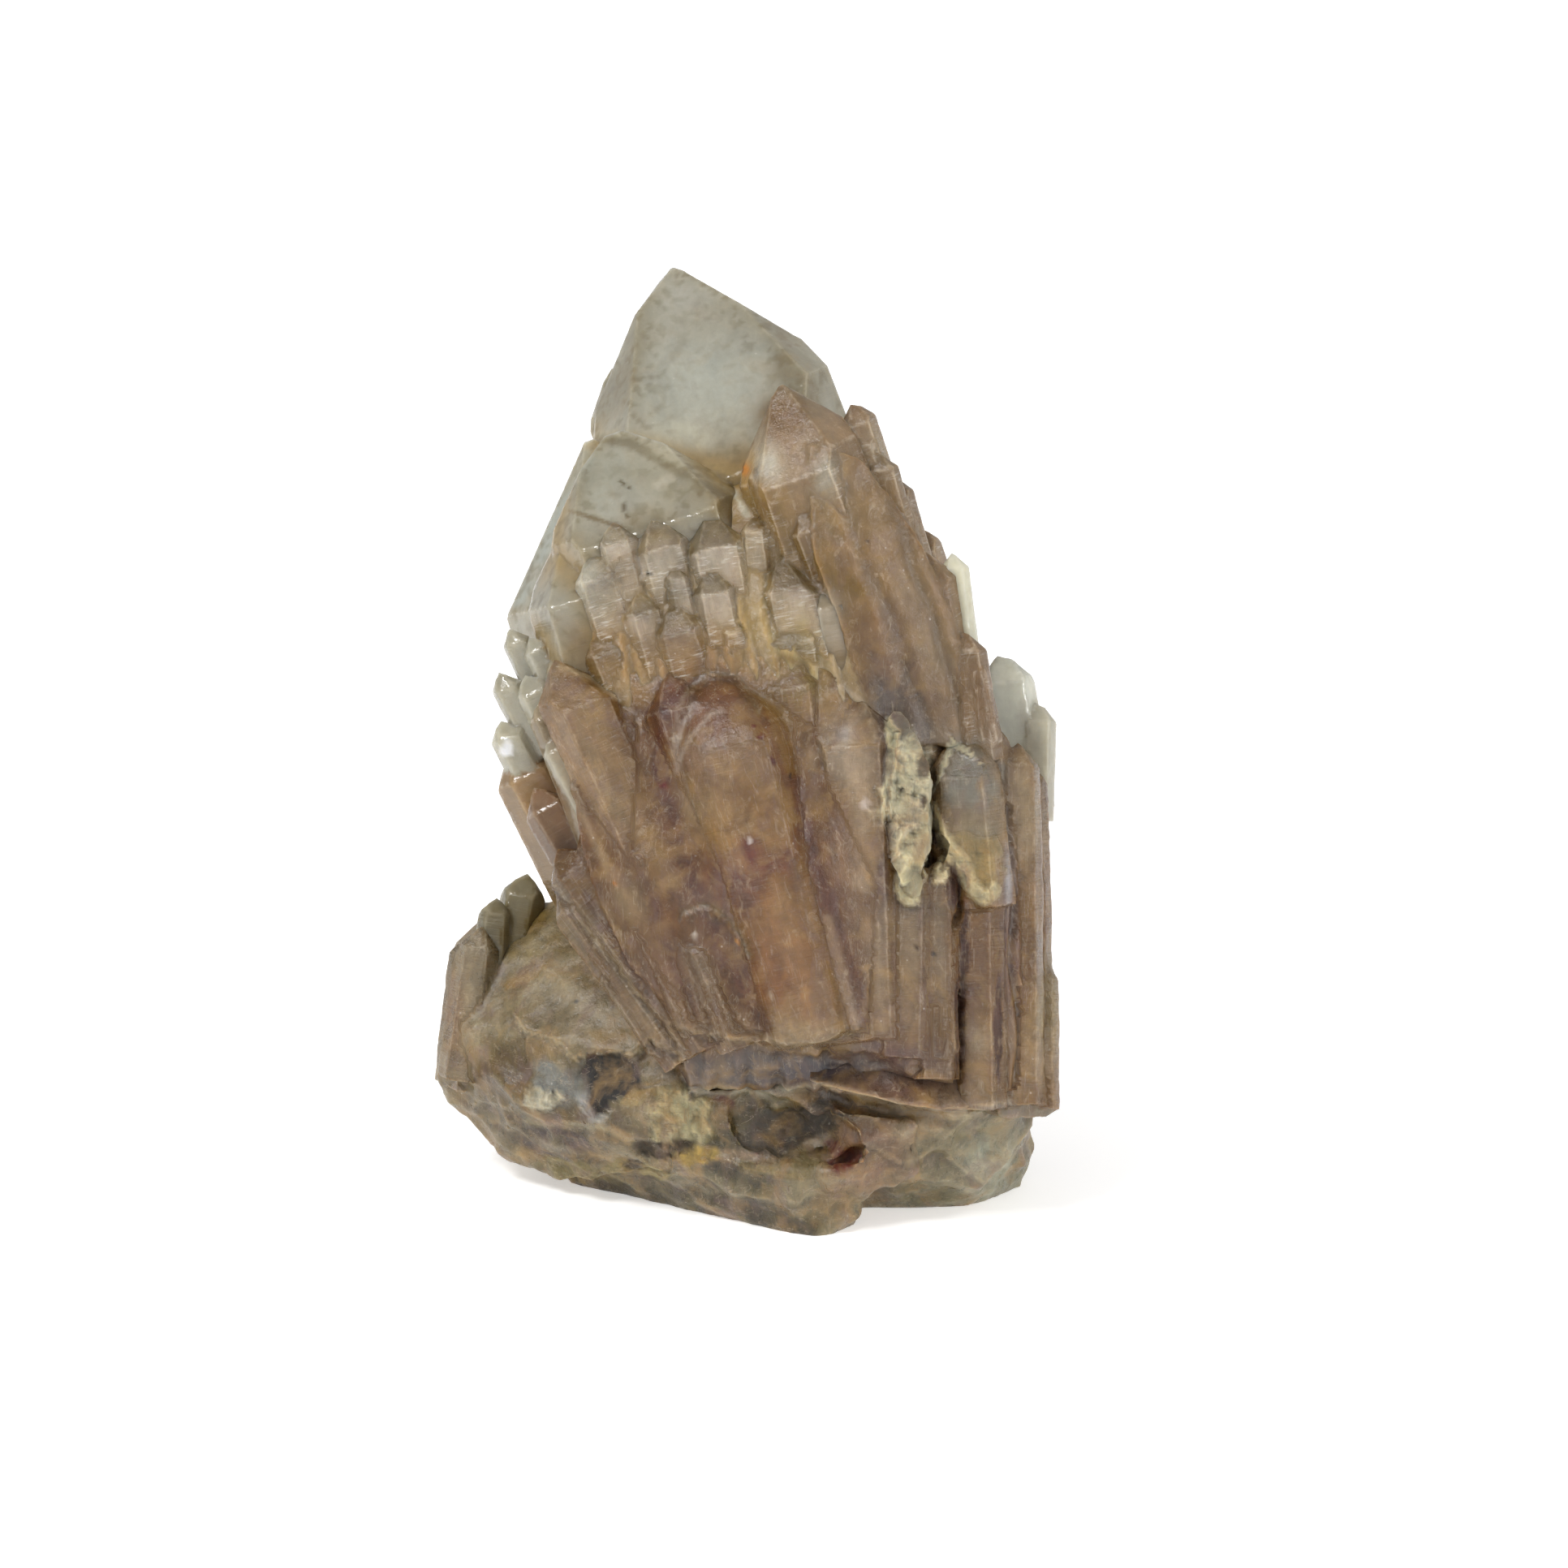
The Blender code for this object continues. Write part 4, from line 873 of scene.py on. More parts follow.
# The ground colour of each group, and of the forms that differ from theirs
COLOURS = {
    "crown": (200, 198, 184), "ridge": (144, 118, 90), "row": (180, 168, 146), "left": (188, 184, 166),
    "column": (130, 100, 64), "lobe": (144, 130, 106), "back": (142, 126, 102), "lump": (124, 110, 88),
    "lobe_body": (138, 122, 90), "foot_left": (80, 72, 44), "foot_right": (118, 112, 86),
    "foot_back": (116, 102, 78), "foot_bulge": (130, 102, 76), "belt": (140, 116, 86),
    "row_web": (160, 140, 106), "ridge_web": (128, 104, 76), "brow": (140, 108, 64),
    "left_6": (168, 142, 108), "left_9": (146, 120, 96), "left_7": (164, 150, 126),
    "left_10": (160, 146, 118), "fan_web": (108, 80, 54), "fan": (112, 88, 68), "right_web": (104, 80, 60),
    "right_block": (132, 112, 94), "chalk": (172, 166, 138), "chalk_mass": (192, 185, 158),
    "skirt": (128, 104, 88), "right_pale_1": (222, 222, 208), "right_pale_2": (208, 204, 186),
    "ridge_needle": (240, 236, 212), "lobe_spike": (150, 142, 116), "lobe_spike_2": (150, 144, 122),
}
# Brown, gold, violet, white and grey places on the front: where, how large and how strong.
# (across, up), half sizes, turn in degrees, colour, strength
STAINS = [
    # crown
    ((-5.0, 72.4), (1.6, 0.9), 0, (206, 204, 194), 0.6),
    ((-4.0, 64.5), (5.0, 5.0), 20, (194, 196, 184), 0.7),
    ((3.2, 66.6), (1.4, 3.6), 25, (146, 137, 114), 0.7),
    ((-10.4, 65.6), (1.0, 4.6), -25, (150, 141, 118), 0.7),
    ((-2.0, 59.8), (3.4, 1.6), -10, (168, 143, 94), 0.85),
    ((-5.6, 61.3), (3.4, 1.3), 0, (226, 222, 202), 0.9),
    ((-12.2, 57.7), (1.6, 2.0), 0, (204, 204, 190), 0.7),
    ((-8.1, 55.2), (2.0, 1.0), 0, (190, 178, 152), 0.7),
    ((-15.0, 48.9), (1.6, 3.0), 0, (206, 202, 188), 0.7),
    ((-1.2, 57.6), (2.0, 2.2), -20, (176, 142, 84), 0.85),
    ((-0.75, 59.0), (0.3, 0.4), 0, (222, 138, 42), 0.95),
    ((-5.8, 57.2), (2.2, 0.9), -15, (172, 162, 134), 0.5),
    ((-8.9, 58.8), (3.2, 1.8), 10, (176, 172, 152), 0.6),
    ((-12.6, 57.6), (1.2, 3.6), -30, (196, 196, 180), 0.6),
    ((-13.8, 50.0), (2.0, 3.6), -15, (194, 192, 176), 0.7),
    ((-1.4, 56.0), (2.0, 1.2), -30, (158, 132, 86), 0.8),
    ((-4.0, 70.4), (3.0, 2.2), 0, (172, 166, 148), 0.6),
    # ridge
    ((2.3, 63.0), (1.8, 1.8), 0, (122, 92, 54), 0.95),
    ((5.6, 58.3), (1.1, 1.6), 0, (172, 168, 152), 0.8),
    ((1.0, 59.3), (0.9, 1.3), 20, (190, 184, 168), 0.85),
    ((2.8, 55.4), (1.6, 1.2), 0, (130, 106, 76), 0.85),
    ((6.9, 55.2), (3.0, 2.6), 0, (152, 131, 100), 0.5),
    ((10.5, 61.0), (2.0, 2.2), 0, (164, 150, 122), 0.6),
    ((12.5, 50.2), (2.0, 2.5), 0, (143, 124, 98), 0.5),
    ((5.0, 51.0), (1.0, 4.6), 50, (122, 98, 66), 0.7),
    ((9.7, 46.0), (1.8, 2.6), 20, (126, 100, 78), 0.6),
    ((11.0, 42.0), (2.8, 2.8), 0, (76, 56, 38), 0.9),
    ((12.6, 38.9), (1.4, 1.6), 0, (100, 92, 88), 0.8),
    ((13.8, 45.2), (2.2, 2.2), 0, (133, 117, 93), 0.5),
    ((15.6, 36.4), (1.4, 1.6), 0, (120, 106, 92), 0.4),
    ((1.3, 55.6), (1.6, 1.8), 20, (150, 124, 84), 0.9),
    # rows
    ((-7.1, 51.4), (0.8, 1.6), 0, (200, 190, 172), 0.7),
    ((-7.6, 54.1), (0.8, 0.5), 0, (122, 104, 72), 0.7),
    ((2.0, 48.9), (1.0, 1.6), 0, (166, 150, 122), 0.6),
    ((0.0, 47.4), (1.9, 1.5), 0, (166, 142, 94), 0.8),
    ((-1.9, 44.6), (1.6, 1.2), 0, (156, 128, 84), 0.6),
    ((3.2, 45.2), (1.6, 2.2), 0, (172, 156, 110), 0.7),
    ((2.1, 52.0), (1.6, 1.4), 0, (148, 126, 92), 0.85),
    ((-3.6, 49.6), (0.9, 1.2), 0, (196, 182, 158), 0.5),
    ((-11.9, 45.2), (2.8, 2.4), 0, (158, 128, 84), 0.85),
    ((-5.6, 45.0), (3.4, 2.4), 0, (162, 134, 98), 0.85),
    ((-3.4, 51.8), (1.2, 1.4), 0, (148, 140, 124), 0.7),
    ((-12.0, 48.6), (1.0, 1.4), 0, (176, 168, 148), 0.5),
    ((5.6, 48.4), (1.0, 1.6), 0, (172, 160, 140), 0.6),
    # fan of columns
    ((-3.8, 40.2), (3.6, 3.2), 0, (120, 84, 64), 0.85),
    ((-6.6, 41.2), (1.0, 1.6), 20, (118, 84, 76), 0.7),
    ((-4.2, 37.0), (3.0, 1.6), 0, (140, 118, 102), 0.5),
    ((-2.5, 34.6), (2.4, 2.0), 0, (118, 88, 58), 0.8),
    ((-0.4, 28.4), (2.6, 2.2), 20, (100, 52, 0), 0.95),
    ((-1.0, 25.4), (1.7, 1.1), 20, (108, 76, 54), 0.8),
    ((2.0, 20.2), (2.6, 3.4), 10, (134, 92, 60), 0.8),
    ((3.6, 15.6), (3.2, 1.2), 0, (160, 138, 106), 0.9),
    ((-1.6, 16.6), (1.6, 1.4), 0, (150, 128, 98), 0.6),
    ((-8.8, 35.2), (1.6, 4.4), 25, (114, 89, 62), 0.7),
    ((-4.6, 33.0), (1.0, 2.4), 20, (158, 138, 108), 0.6),
    ((-12.2, 36.0), (0.6, 3.6), 24, (168, 146, 112), 0.6),
    ((-2.8, 30.6), (1.2, 1.6), 0, (152, 116, 62), 0.6),
    ((1.4, 24.2), (1.0, 2.6), 12, (156, 116, 78), 0.5),
    ((-13.1, 38.9), (1.8, 3.0), 20, (146, 122, 94), 0.5),
    ((-10.5, 33.0), (1.6, 2.6), 25, (150, 130, 100), 0.6),
    ((-7.0, 29.6), (1.8, 3.2), 25, (110, 82, 72), 0.7),
    ((7.0, 37.2), (2.2, 3.0), 0, (168, 152, 130), 0.85),
    # painted glint: the small white place on the top of the right-hand broad column
    ((7.2, 38.6), (0.8, 0.6), 30, (200, 198, 196), 0.9),
    ((8.4, 33.0), (1.0, 3.0), 0, (156, 136, 108), 0.6),
    ((6.6, 28.0), (1.2, 3.4), 8, (120, 88, 66), 0.7),
    ((8.6, 24.0), (1.0, 3.6), 5, (134, 112, 92), 0.6),
    ((8.1, 27.9), (1.2, 1.8), 0, (126, 98, 68), 0.8),
    ((9.8, 26.0), (0.5, 6.0), 0, (112, 98, 92), 0.6),
    ((1.9, 42.0), (1.8, 2.0), 0, (130, 106, 70), 0.7),
    ((4.6, 42.5), (1.2, 1.6), 0, (150, 134, 92), 0.6),
    # painted shadow: the next two are the shadow that the fan of columns casts on the lobe behind it
    ((-12.0, 22.4), (1.3, 4.6), 35, (98, 76, 48), 0.85),
    ((-13.2, 22.8), (0.9, 1.8), 30, (94, 74, 50), 0.8),
    ((-8.1, 17.1), (3.0, 1.4), 0, (146, 130, 106), 0.75),
    ((-9.6, 26.0), (1.6, 1.6), 30, (120, 106, 82), 0.6),
    ((-5.4, 21.0), (1.0, 3.6), 30, (104, 78, 62), 0.8),
    ((-7.8, 21.4), (1.4, 2.0), 30, (122, 96, 76), 0.6),
    ((-3.8, 19.8), (1.3, 3.0), 25, (140, 122, 98), 0.7),
    ((-1.9, 19.6), (0.7, 2.8), 25, (100, 78, 66), 0.8),
    # left points
    ((-15.4, 33.4), (0.7, 3.0), 25, (150, 116, 90), 0.7),
    ((-18.6, 31.4), (0.7, 2.6), 35, (140, 116, 84), 0.6),
    ((-14.6, 30.0), (1.0, 1.2), 20, (110, 86, 66), 0.8),
    ((-17.6, 44.0), (1.4, 1.4), 0, (180, 178, 164), 0.6),
    # right columns
    ((10.4, 40.4), (1.0, 2.4), 0, (114, 106, 100), 0.7),
    ((12.3, 27.4), (0.7, 1.0), 0, (150, 144, 122), 0.8),
    ((11.9, 23.3), (2.2, 4.2), 0, (142, 124, 102), 0.85),
    ((12.2, 25.6), (2.0, 1.0), 0, (108, 98, 90), 0.6),
    ((14.4, 21.0), (0.5, 5.0), 0, (158, 148, 130), 0.6),
    ((10.8, 17.5), (3.2, 1.4), 0, (152, 130, 106), 0.6),
    ((16.6, 35.2), (2.4, 2.6), 0, (130, 126, 114), 0.95),
    ((17.4, 31.0), (2.0, 1.4), 0, (152, 142, 116), 0.6),
    ((17.2, 28.4), (1.8, 1.4), 0, (148, 126, 92), 0.7),
    ((16.6, 20.6), (1.5, 4.2), 0, (108, 86, 70), 0.8),
    ((16.9, 15.3), (1.6, 1.3), 0, (154, 136, 110), 0.8),
    ((16.8, 11.6), (1.5, 1.5), 0, (134, 110, 82), 0.6),
    ((20.8, 32.7), (1.4, 4.2), 0, (170, 154, 126), 0.6),
    ((19.4, 24.0), (0.5, 6.0), 0, (116, 98, 96), 0.7),
    # painted glint: a thin white line down a right-hand column
    ((19.5, 27.5), (0.25, 2.2), 0, (186, 184, 184), 0.7),
    ((22.6, 18.0), (0.9, 3.6), 0, (156, 146, 112), 0.6),
    ((21.4, 12.8), (1.8, 1.8), 0, (150, 128, 100), 0.6),
    # under the ends of the columns: painted shade of the undercut there, in its violet-grey and pink tones
    ((12.6, 13.4), (3.4, 1.8), -15, (116, 96, 86), 0.8),
    ((10.2, 14.2), (2.0, 0.8), -20, (112, 84, 78), 0.7),
    ((1.9, 13.0), (7.5, 1.4), 0, (104, 98, 96), 0.9),
    ((5.2, 12.6), (3.2, 0.9), 0, (80, 76, 82), 0.8),
    ((-4.0, 12.1), (2.4, 0.9), 0, (126, 114, 104), 0.7),
    ((12.0, 10.8), (3.4, 0.7), -10, (108, 84, 76), 0.7),
    # lobe
    ((-16.9, 22.9), (3.0, 2.6), 0, (124, 106, 68), 0.8),
    ((-17.5, 18.9), (4.4, 2.0), -10, (152, 138, 112), 0.8),
    ((-22.9, 16.4), (1.0, 3.6), 0, (136, 110, 82), 0.8),
    ((-21.6, 14.0), (0.4, 3.0), 0, (172, 160, 132), 0.5),
    ((-19.4, 12.1), (2.8, 2.4), 0, (90, 70, 24), 0.85),
    ((-12.6, 17.3), (3.8, 1.4), -20, (156, 142, 116), 0.8),
    # painted shadow of the fan of columns on the lobe
    ((-11.9, 22.0), (1.2, 2.8), 30, (98, 84, 56), 0.8),
    # foot
    ((-15.0, 10.2), (3.4, 0.8), -5, (108, 98, 78), 0.7),
    ((-11.0, 9.6), (2.6, 1.0), -6, (112, 102, 82), 0.7),
    ((-9.4, 7.8), (2.4, 0.7), -10, (104, 92, 74), 0.7),
    ((-15.6, 7.1), (3.6, 1.9), -10, (52, 36, 12), 0.92),
    ((-17.6, 6.4), (0.8, 0.5), 0, (160, 126, 66), 0.7),
    ((5.9, 10.9), (2.2, 0.8), 20, (98, 84, 86), 0.6),
    ((-1.9, 4.9), (4.4, 1.8), -12, (82, 76, 56), 0.85),
    ((5.6, 3.4), (2.4, 2.0), 0, (126, 112, 84), 0.8),
    ((8.2, 4.6), (2.0, 1.6), 0, (148, 118, 88), 0.7),
    ((9.4, 7.4), (1.6, 1.8), 0, (124, 98, 84), 0.7),
    ((15.6, 6.6), (3.6, 2.8), 0, (128, 116, 86), 0.8),
    ((18.2, 5.6), (2.2, 2.2), 0, (168, 167, 146), 0.85),
    ((12.4, 8.6), (2.0, 1.2), 0, (136, 118, 96), 0.6),
]
# Dark and pale lines on the front: (across, up) points, half width, colour, strength
VEINS = [
    (((-7.8, 40.8), (-7.2, 35.2), (-5.0, 27.7), (-0.3, 18.3), (0.9, 15.8)), 0.6, (92, 66, 50), 0.8),
    (((3.1, 35.2), (4.4, 29.6), (7.5, 20.8), (8.4, 16.4)), 0.5, (94, 66, 54), 0.8),
    (((5.4, 34.0), (6.0, 29.0), (8.2, 21.0)), 0.4, (106, 82, 64), 0.6),
    (((-10.3, 40.8), (-8.1, 32.0), (-7.0, 28.0)), 0.5, (108, 84, 56), 0.6),
    (((-8.4, 27.7), (-5.6, 19.6), (-4.7, 16.8)), 0.45, (92, 68, 52), 0.75),
    (((-13.4, 30.0), (-9.4, 22.6), (-6.4, 17.0)), 0.35, (108, 84, 62), 0.6),
    (((1.4, 56.0), (3.4, 52.4), (8.4, 49.4)), 0.5, (120, 98, 62), 0.7),
    (((-4.0, 43.2), (-6.2, 41.4), (-7.4, 38.4), (-7.2, 35.0)), 0.35, (94, 64, 54), 0.75),
    (((-3.4, 43.4), (-1.2, 42.6), (0.6, 40.4), (1.4, 37.4), (2.6, 34.6)), 0.3, (104, 74, 52), 0.7),
    (((-15.2, 43.9), (-12.6, 43.0), (-10.6, 41.4)), 0.15, (178, 158, 126), 0.8),
    (((-15.0, 43.2), (-12.6, 42.3), (-10.8, 40.8)), 0.3, (112, 84, 54), 0.6),
    (((5.0, 41.2), (6.6, 42.4), (8.4, 41.0), (9.4, 38.0)), 0.15, (178, 160, 136), 0.7),
    (((4.9, 40.6), (4.6, 38.0), (5.4, 34.0)), 0.35, (108, 80, 56), 0.7),
    (((1.0, 43.0), (2.2, 45.2), (4.2, 44.4), (5.8, 42.6)), 0.15, (172, 152, 112), 0.7),
    (((1.0, 42.4), (2.2, 44.6), (4.2, 43.8)), 0.3, (116, 90, 56), 0.6),
    (((-15.6, 38.0), (-12.6, 31.0), (-11.2, 28.0)), 0.3, (176, 154, 124), 0.5),
    (((-12.9, 60.0), (-16.0, 54.0), (-18.6, 48.8)), 0.7, (190, 196, 188), 0.85),
    (((-14.4, 55.9), (-11.6, 55.0), (-9.6, 54.4)), 0.13, (120, 98, 68), 0.75),
    (((-10.4, 58.2), (-9.7, 57.6)), 0.1, (100, 84, 58), 0.8),
    (((-10.2, 56.4), (-9.8, 55.4)), 0.1, (100, 84, 58), 0.8),
    (((-5.4, 58.9), (-4.2, 59.2), (-3.6, 58.0), (-4.4, 57.0)), 0.2, (116, 92, 60), 0.75),
    (((-7.6, 57.8), (-6.2, 58.6)), 0.3, (210, 204, 186), 0.7),
    # painted highlights: the next three lie along the crests of the columns' domes
    (((-12.9, 41.5), (-9.6, 34.0), (-6.8, 27.0)), 0.8, (162, 136, 96), 0.4),
    (((7.4, 40.0), (8.0, 34.0), (8.6, 27.0)), 0.8, (180, 158, 130), 0.55),
    (((-3.6, 37.4), (-2.2, 34.0), (-1.0, 31.2)), 0.7, (146, 120, 90), 0.2),
    (((-14.4, 25.4), (-11.4, 20.6), (-8.4, 15.8)), 0.5, (150, 126, 98), 0.5),
    (((-13.2, 26.6), (-9.4, 20.4), (-6.6, 15.6)), 0.3, (92, 68, 54), 0.7),
    (((-11.0, 28.4), (-8.0, 22.6), (-5.2, 16.6)), 0.4, (152, 126, 98), 0.5),
    (((1.4, 27.6), (3.0, 22.0), (4.4, 16.4)), 0.7, (158, 124, 88), 0.5),
    (((5.6, 24.6), (7.0, 19.0), (7.8, 16.4)), 0.3, (166, 142, 116), 0.6),
    (((9.4, 24.0), (9.7, 18.0), (9.8, 15.6)), 0.25, (172, 152, 126), 0.6),
    (((10.6, 22.6), (10.8, 15.0)), 0.16, (110, 90, 76), 0.7),
    (((13.0, 24.0), (12.8, 15.0)), 0.16, (112, 92, 78), 0.7),
    (((9.9, 40.5), (10.2, 34.0), (9.8, 26.0)), 0.4, (98, 84, 80), 0.6),
    (((-12.2, 61.9), (-9.7, 61.7), (-6.0, 59.6), (-1.6, 57.3), (-0.6, 55.4)), 0.22, (206, 200, 178), 0.8),
    (((-12.2, 61.3), (-9.7, 61.1), (-6.2, 59.0), (-2.0, 56.8)), 0.3, (140, 128, 100), 0.7),
    (((-6.4, 37.0), (-5.6, 39.0), (-4.8, 41.0)), 0.15, (184, 168, 150), 0.6),
    (((-6.2, 35.6), (-5.0, 38.4), (-3.4, 40.2), (-2.4, 40.4)), 0.15, (186, 170, 152), 0.6),
    (((-5.6, 41.5), (-6.2, 38.6), (-6.0, 36.2)), 0.15, (182, 166, 148), 0.5),
    (((-5.5, 11.0), (-3.1, 11.3), (0.7, 10.9), (4.9, 11.7)), 0.22, (176, 168, 146), 0.8),
    (((4.9, 11.7), (10.7, 10.2), (14.7, 9.3), (18.4, 10.2)), 0.25, (168, 150, 124), 0.8),
    (((-17.8, 8.9), (-15.6, 8.4), (-12.0, 8.2), (-9.0, 7.0)), 0.2, (178, 166, 128), 0.7),
    (((-3.2, 6.2), (1.9, 5.8), (5.0, 7.5), (7.4, 9.8)), 0.3, (150, 128, 108), 0.8),
    (((-21.8, 22.4), (-22.2, 17.0), (-22.8, 11.6)), 0.3, (166, 150, 120), 0.6),
]
# Specks of rust, black and white, and one painted glint: (across, up), radius, colour
SPECKS = [
    ((-7.0, 34.7), 0.24, (104, 40, 16)), ((0.5, 38.4), 0.24, (104, 44, 22)),
    ((0.1, 39.2), 0.14, (104, 44, 22)), ((1.4, 36.6), 0.2, (84, 38, 26)),
    ((-10.8, 27.1), 0.16, (170, 108, 50)), ((-15.4, 11.1), 0.2, (22, 20, 18)),
    ((-13.9, 18.1), 0.15, (24, 22, 18)), ((2.6, 35.5), 0.18, (24, 22, 18)),
    ((8.75, 53.5), 0.13, (30, 24, 18)), ((11.3, 34.4), 0.18, (24, 22, 18)),
    ((13.8, 21.7), 0.2, (30, 24, 20)), ((12.4, 22.3), 0.15, (40, 30, 24)),
    ((-0.3, 30.4), 0.2, (206, 196, 190)), ((8.5, 33.3), 0.35, (200, 184, 170)),
    # painted glint: the first speck here, white on the left points
    ((-19.2, 37.5), 0.55, (250, 250, 252)), ((-8.2, 51.0), 0.16, (30, 26, 20)),
    ((-1.4, 22.8), 0.2, (180, 130, 72)), ((-4.6, 23.2), 0.25, (196, 184, 170)),
]
# Broken ledges on the front: (across, up) points from left to right, how high the upper side stands in
# mm, and over how many mm that height fades upwards
LEDGES = [
    (((-18.2, 16.6), (-17.2, 15.4), (-15.0, 14.6), (-13.8, 13.3), (-12.2, 13.9), (-9.4, 13.9),
      (-8.1, 15.2), (-6.0, 14.0), (-5.0, 11.6)), 1.0, 3.5),
    (((-21.4, 10.0), (-18.0, 9.3), (-15.6, 8.6), (-12.0, 8.4), (-9.0, 7.2), (-6.0, 6.6)), 0.7, 2.0),
    (((-20.0, 8.6), (-16.4, 7.2), (-13.0, 6.2), (-9.6, 5.8)), 0.4, 1.4),
    (((4.9, 11.6), (7.6, 10.9), (10.7, 10.1), (14.7, 9.2), (18.4, 10.0), (19.6, 10.4)), 0.8, 1.6),
    (((-3.4, 5.9), (1.9, 5.4), (5.0, 7.2), (7.4, 9.6)), -0.6, 2.5),
    (((-8.0, 4.6), (-4.0, 3.6), (1.0, 2.6), (5.0, 3.2)), 0.4, 1.8),
    (((8.6, 6.8), (11.0, 5.6), (14.0, 6.2), (17.6, 4.4)), 0.5, 1.8),
    (((-6.0, 16.2), (-2.0, 15.2), (1.6, 14.8), (5.0, 14.8), (7.8, 15.8)), 0.7, 1.4),
    (((-15.4, 26.8), (-11.6, 21.8), (-8.0, 17.2), (-6.0, 15.0)), 0.5, 1.8),
    (((-5.0, 41.6), (-3.6, 43.2), (-1.4, 42.8), (0.2, 40.4)), -0.3, 1.0),
    (((-5.2, 24.6), (-4.0, 25.4), (-2.0, 24.2), (-0.6, 21.6)), -0.4, 1.2),
]
# Chalky crust: (across, up), half sizes, turn in degrees, height in mm, colour, how rough it is
CRUSTS = [
    ((11.5, 34.6), (2.0, 4.0), -4, 0.9, (188, 180, 152), 1.0),
    ((10.6, 38.4), (0.5, 1.6), 12, 0.4, (182, 174, 142), 0.6),
    ((11.9, 30.2), (1.6, 1.4), 0, 0.8, (204, 194, 160), 1.0),
    ((12.1, 27.3), (1.1, 1.9), 10, 0.7, (200, 190, 156), 0.6),
    ((14.5, 28.2), (0.75, 1.1), -20, 0.6, (198, 186, 152), 0.6),
    ((16.8, 29.6), (1.9, 1.6), 20, 0.4, (150, 134, 102), 0.8),
    ((17.5, 27.6), (1.3, 1.6), 0, 0.5, (156, 136, 98), 0.6),
    ((-14.6, 11.6), (2.8, 1.7), -25, 0.2, (136, 136, 130), 0.6),
    ((-16.2, 10.6), (1.4, 0.8), 0, 0.5, (186, 180, 158), 0.8),
    ((-12.6, 9.9), (1.6, 0.7), -35, 0.4, (166, 166, 160), 0.8),
    ((-5.6, 9.0), (2.8, 2.3), -10, 0.7, (168, 160, 128), 1.0),
    ((-4.6, 6.2), (1.6, 0.8), 0, 0.3, (172, 148, 92), 0.8),
    ((-8.0, 10.6), (2.4, 0.7), 10, 0.4, (160, 150, 118), 0.8),
    ((-13.6, 4.9), (3.2, 0.8), -14, 0.3, (140, 130, 98), 0.6),
    ((-9.0, 5.2), (2.8, 0.7), -6, 0.3, (146, 134, 100), 0.6),
    ((2.0, 5.0), (3.0, 0.5), -4, 0.2, (140, 126, 96), 0.4),
]
# Sunken dull places: (across, up), half sizes, turn in degrees, height in mm, colour
WINDOWS = [
    ((-11.3, 12.2), (2.6, 1.9), -8, -0.1, (40, 26, 4)),
    ((-7.1, 6.8), (2.3, 0.62), 2, -0.4, (84, 74, 60)),
    ((-9.4, 5.6), (0.8, 0.5), 0, -0.3, (90, 78, 62)),
    ((7.0, 5.8), (1.1, 0.7), 30, -0.1, (104, 58, 26)),
    ((6.2, 6.8), (0.4, 0.9), 40, -0.1, (104, 62, 40)),
    ((-2.4, 10.4), (0.9, 0.3), -20, -0.1, (96, 60, 44)),
    # painted shade: the next three darken the hollows in the chalky crust
    ((12.7, 36.2), (0.35, 1.0), -8, -0.3, (112, 98, 82)),
    ((13.2, 33.0), (0.3, 1.0), 30, -0.5, (84, 68, 56)),
    ((13.9, 30.6), (0.4, 1.3), 20, -0.5, (76, 58, 48)),
    ((12.3, 27.7), (0.45, 1.0), 14, -0.3, (150, 142, 116)),
    ((14.5, 28.5), (0.25, 0.5), -20, -0.2, (150, 134, 104)),
    ((15.3, 27.0), (0.5, 2.0), 5, -0.3, (84, 62, 50)),
    ((15.9, 19.0), (0.35, 7.0), -2, -0.2, (86, 66, 56)),
    ((18.8, 16.0), (0.3, 4.0), 0, -0.2, (92, 70, 62)),
    ((2.4, 8.3), (4.9, 1.5), 17, -0.2, (92, 85, 76)),
]
# Raised rims of crust: (across, up) points, half width, height in mm, colour
RIMS = [
    (((13.6, 34.0), (14.4, 35.8), (15.2, 38.0), (16.3, 37.4), (17.4, 36.4)), 0.16, 0.2, (180, 174, 150)),
    (((13.4, 33.2), (14.2, 31.6), (14.9, 30.2), (15.9, 28.9), (16.5, 27.2), (17.6, 26.0), (18.6, 26.8)),
     0.6, 0.5, (188, 176, 142)),
]
# lump: (lean of its ribs in radians, their pitch and height in mm)
WEB_RIBS = {
    "ridge_web": (0.33, 2.6, 0.1), "row_web": (0.2, 1.6, 0.1), "right_web": (0.03, 1.5, 0.2),
    "fan": (0.0, 2.0, 0.15),
}
STONE = ("lobe_body", "foot_left", "foot_right", "foot_back", "foot_bulge")
COLUMN_LUMPS = ("fan_web", "fan", "right_web", "right_block", "skirt")
CHALK = ("chalk", "chalk_mass")
LIGHT = 1.15  # how much brighter a colour looks in the studio light than it is
GLOSS = 0.036  # what the white room's reflection adds to every colour
LIP = (172, 160, 132)  # the pale edge of a ledge
# painted shade just under a ledge's lip
LEDGE_SHADE = (84, 72, 58)
CRUST_DIRT = (150, 138, 108)
TONES = 997  # how many tones the facets are given from
FOOT_FLAT = 0.02  # mm above the floor under which a point stays on the flat cut
NO_EDGE = 9.0  # mm from an edge, of a point that has none
KNOTS = 32  # along each side of the random tables
TOWARDS_VIEWER = np.array((0, -math.cos(VIEW_TILT), math.sin(VIEW_TILT)))


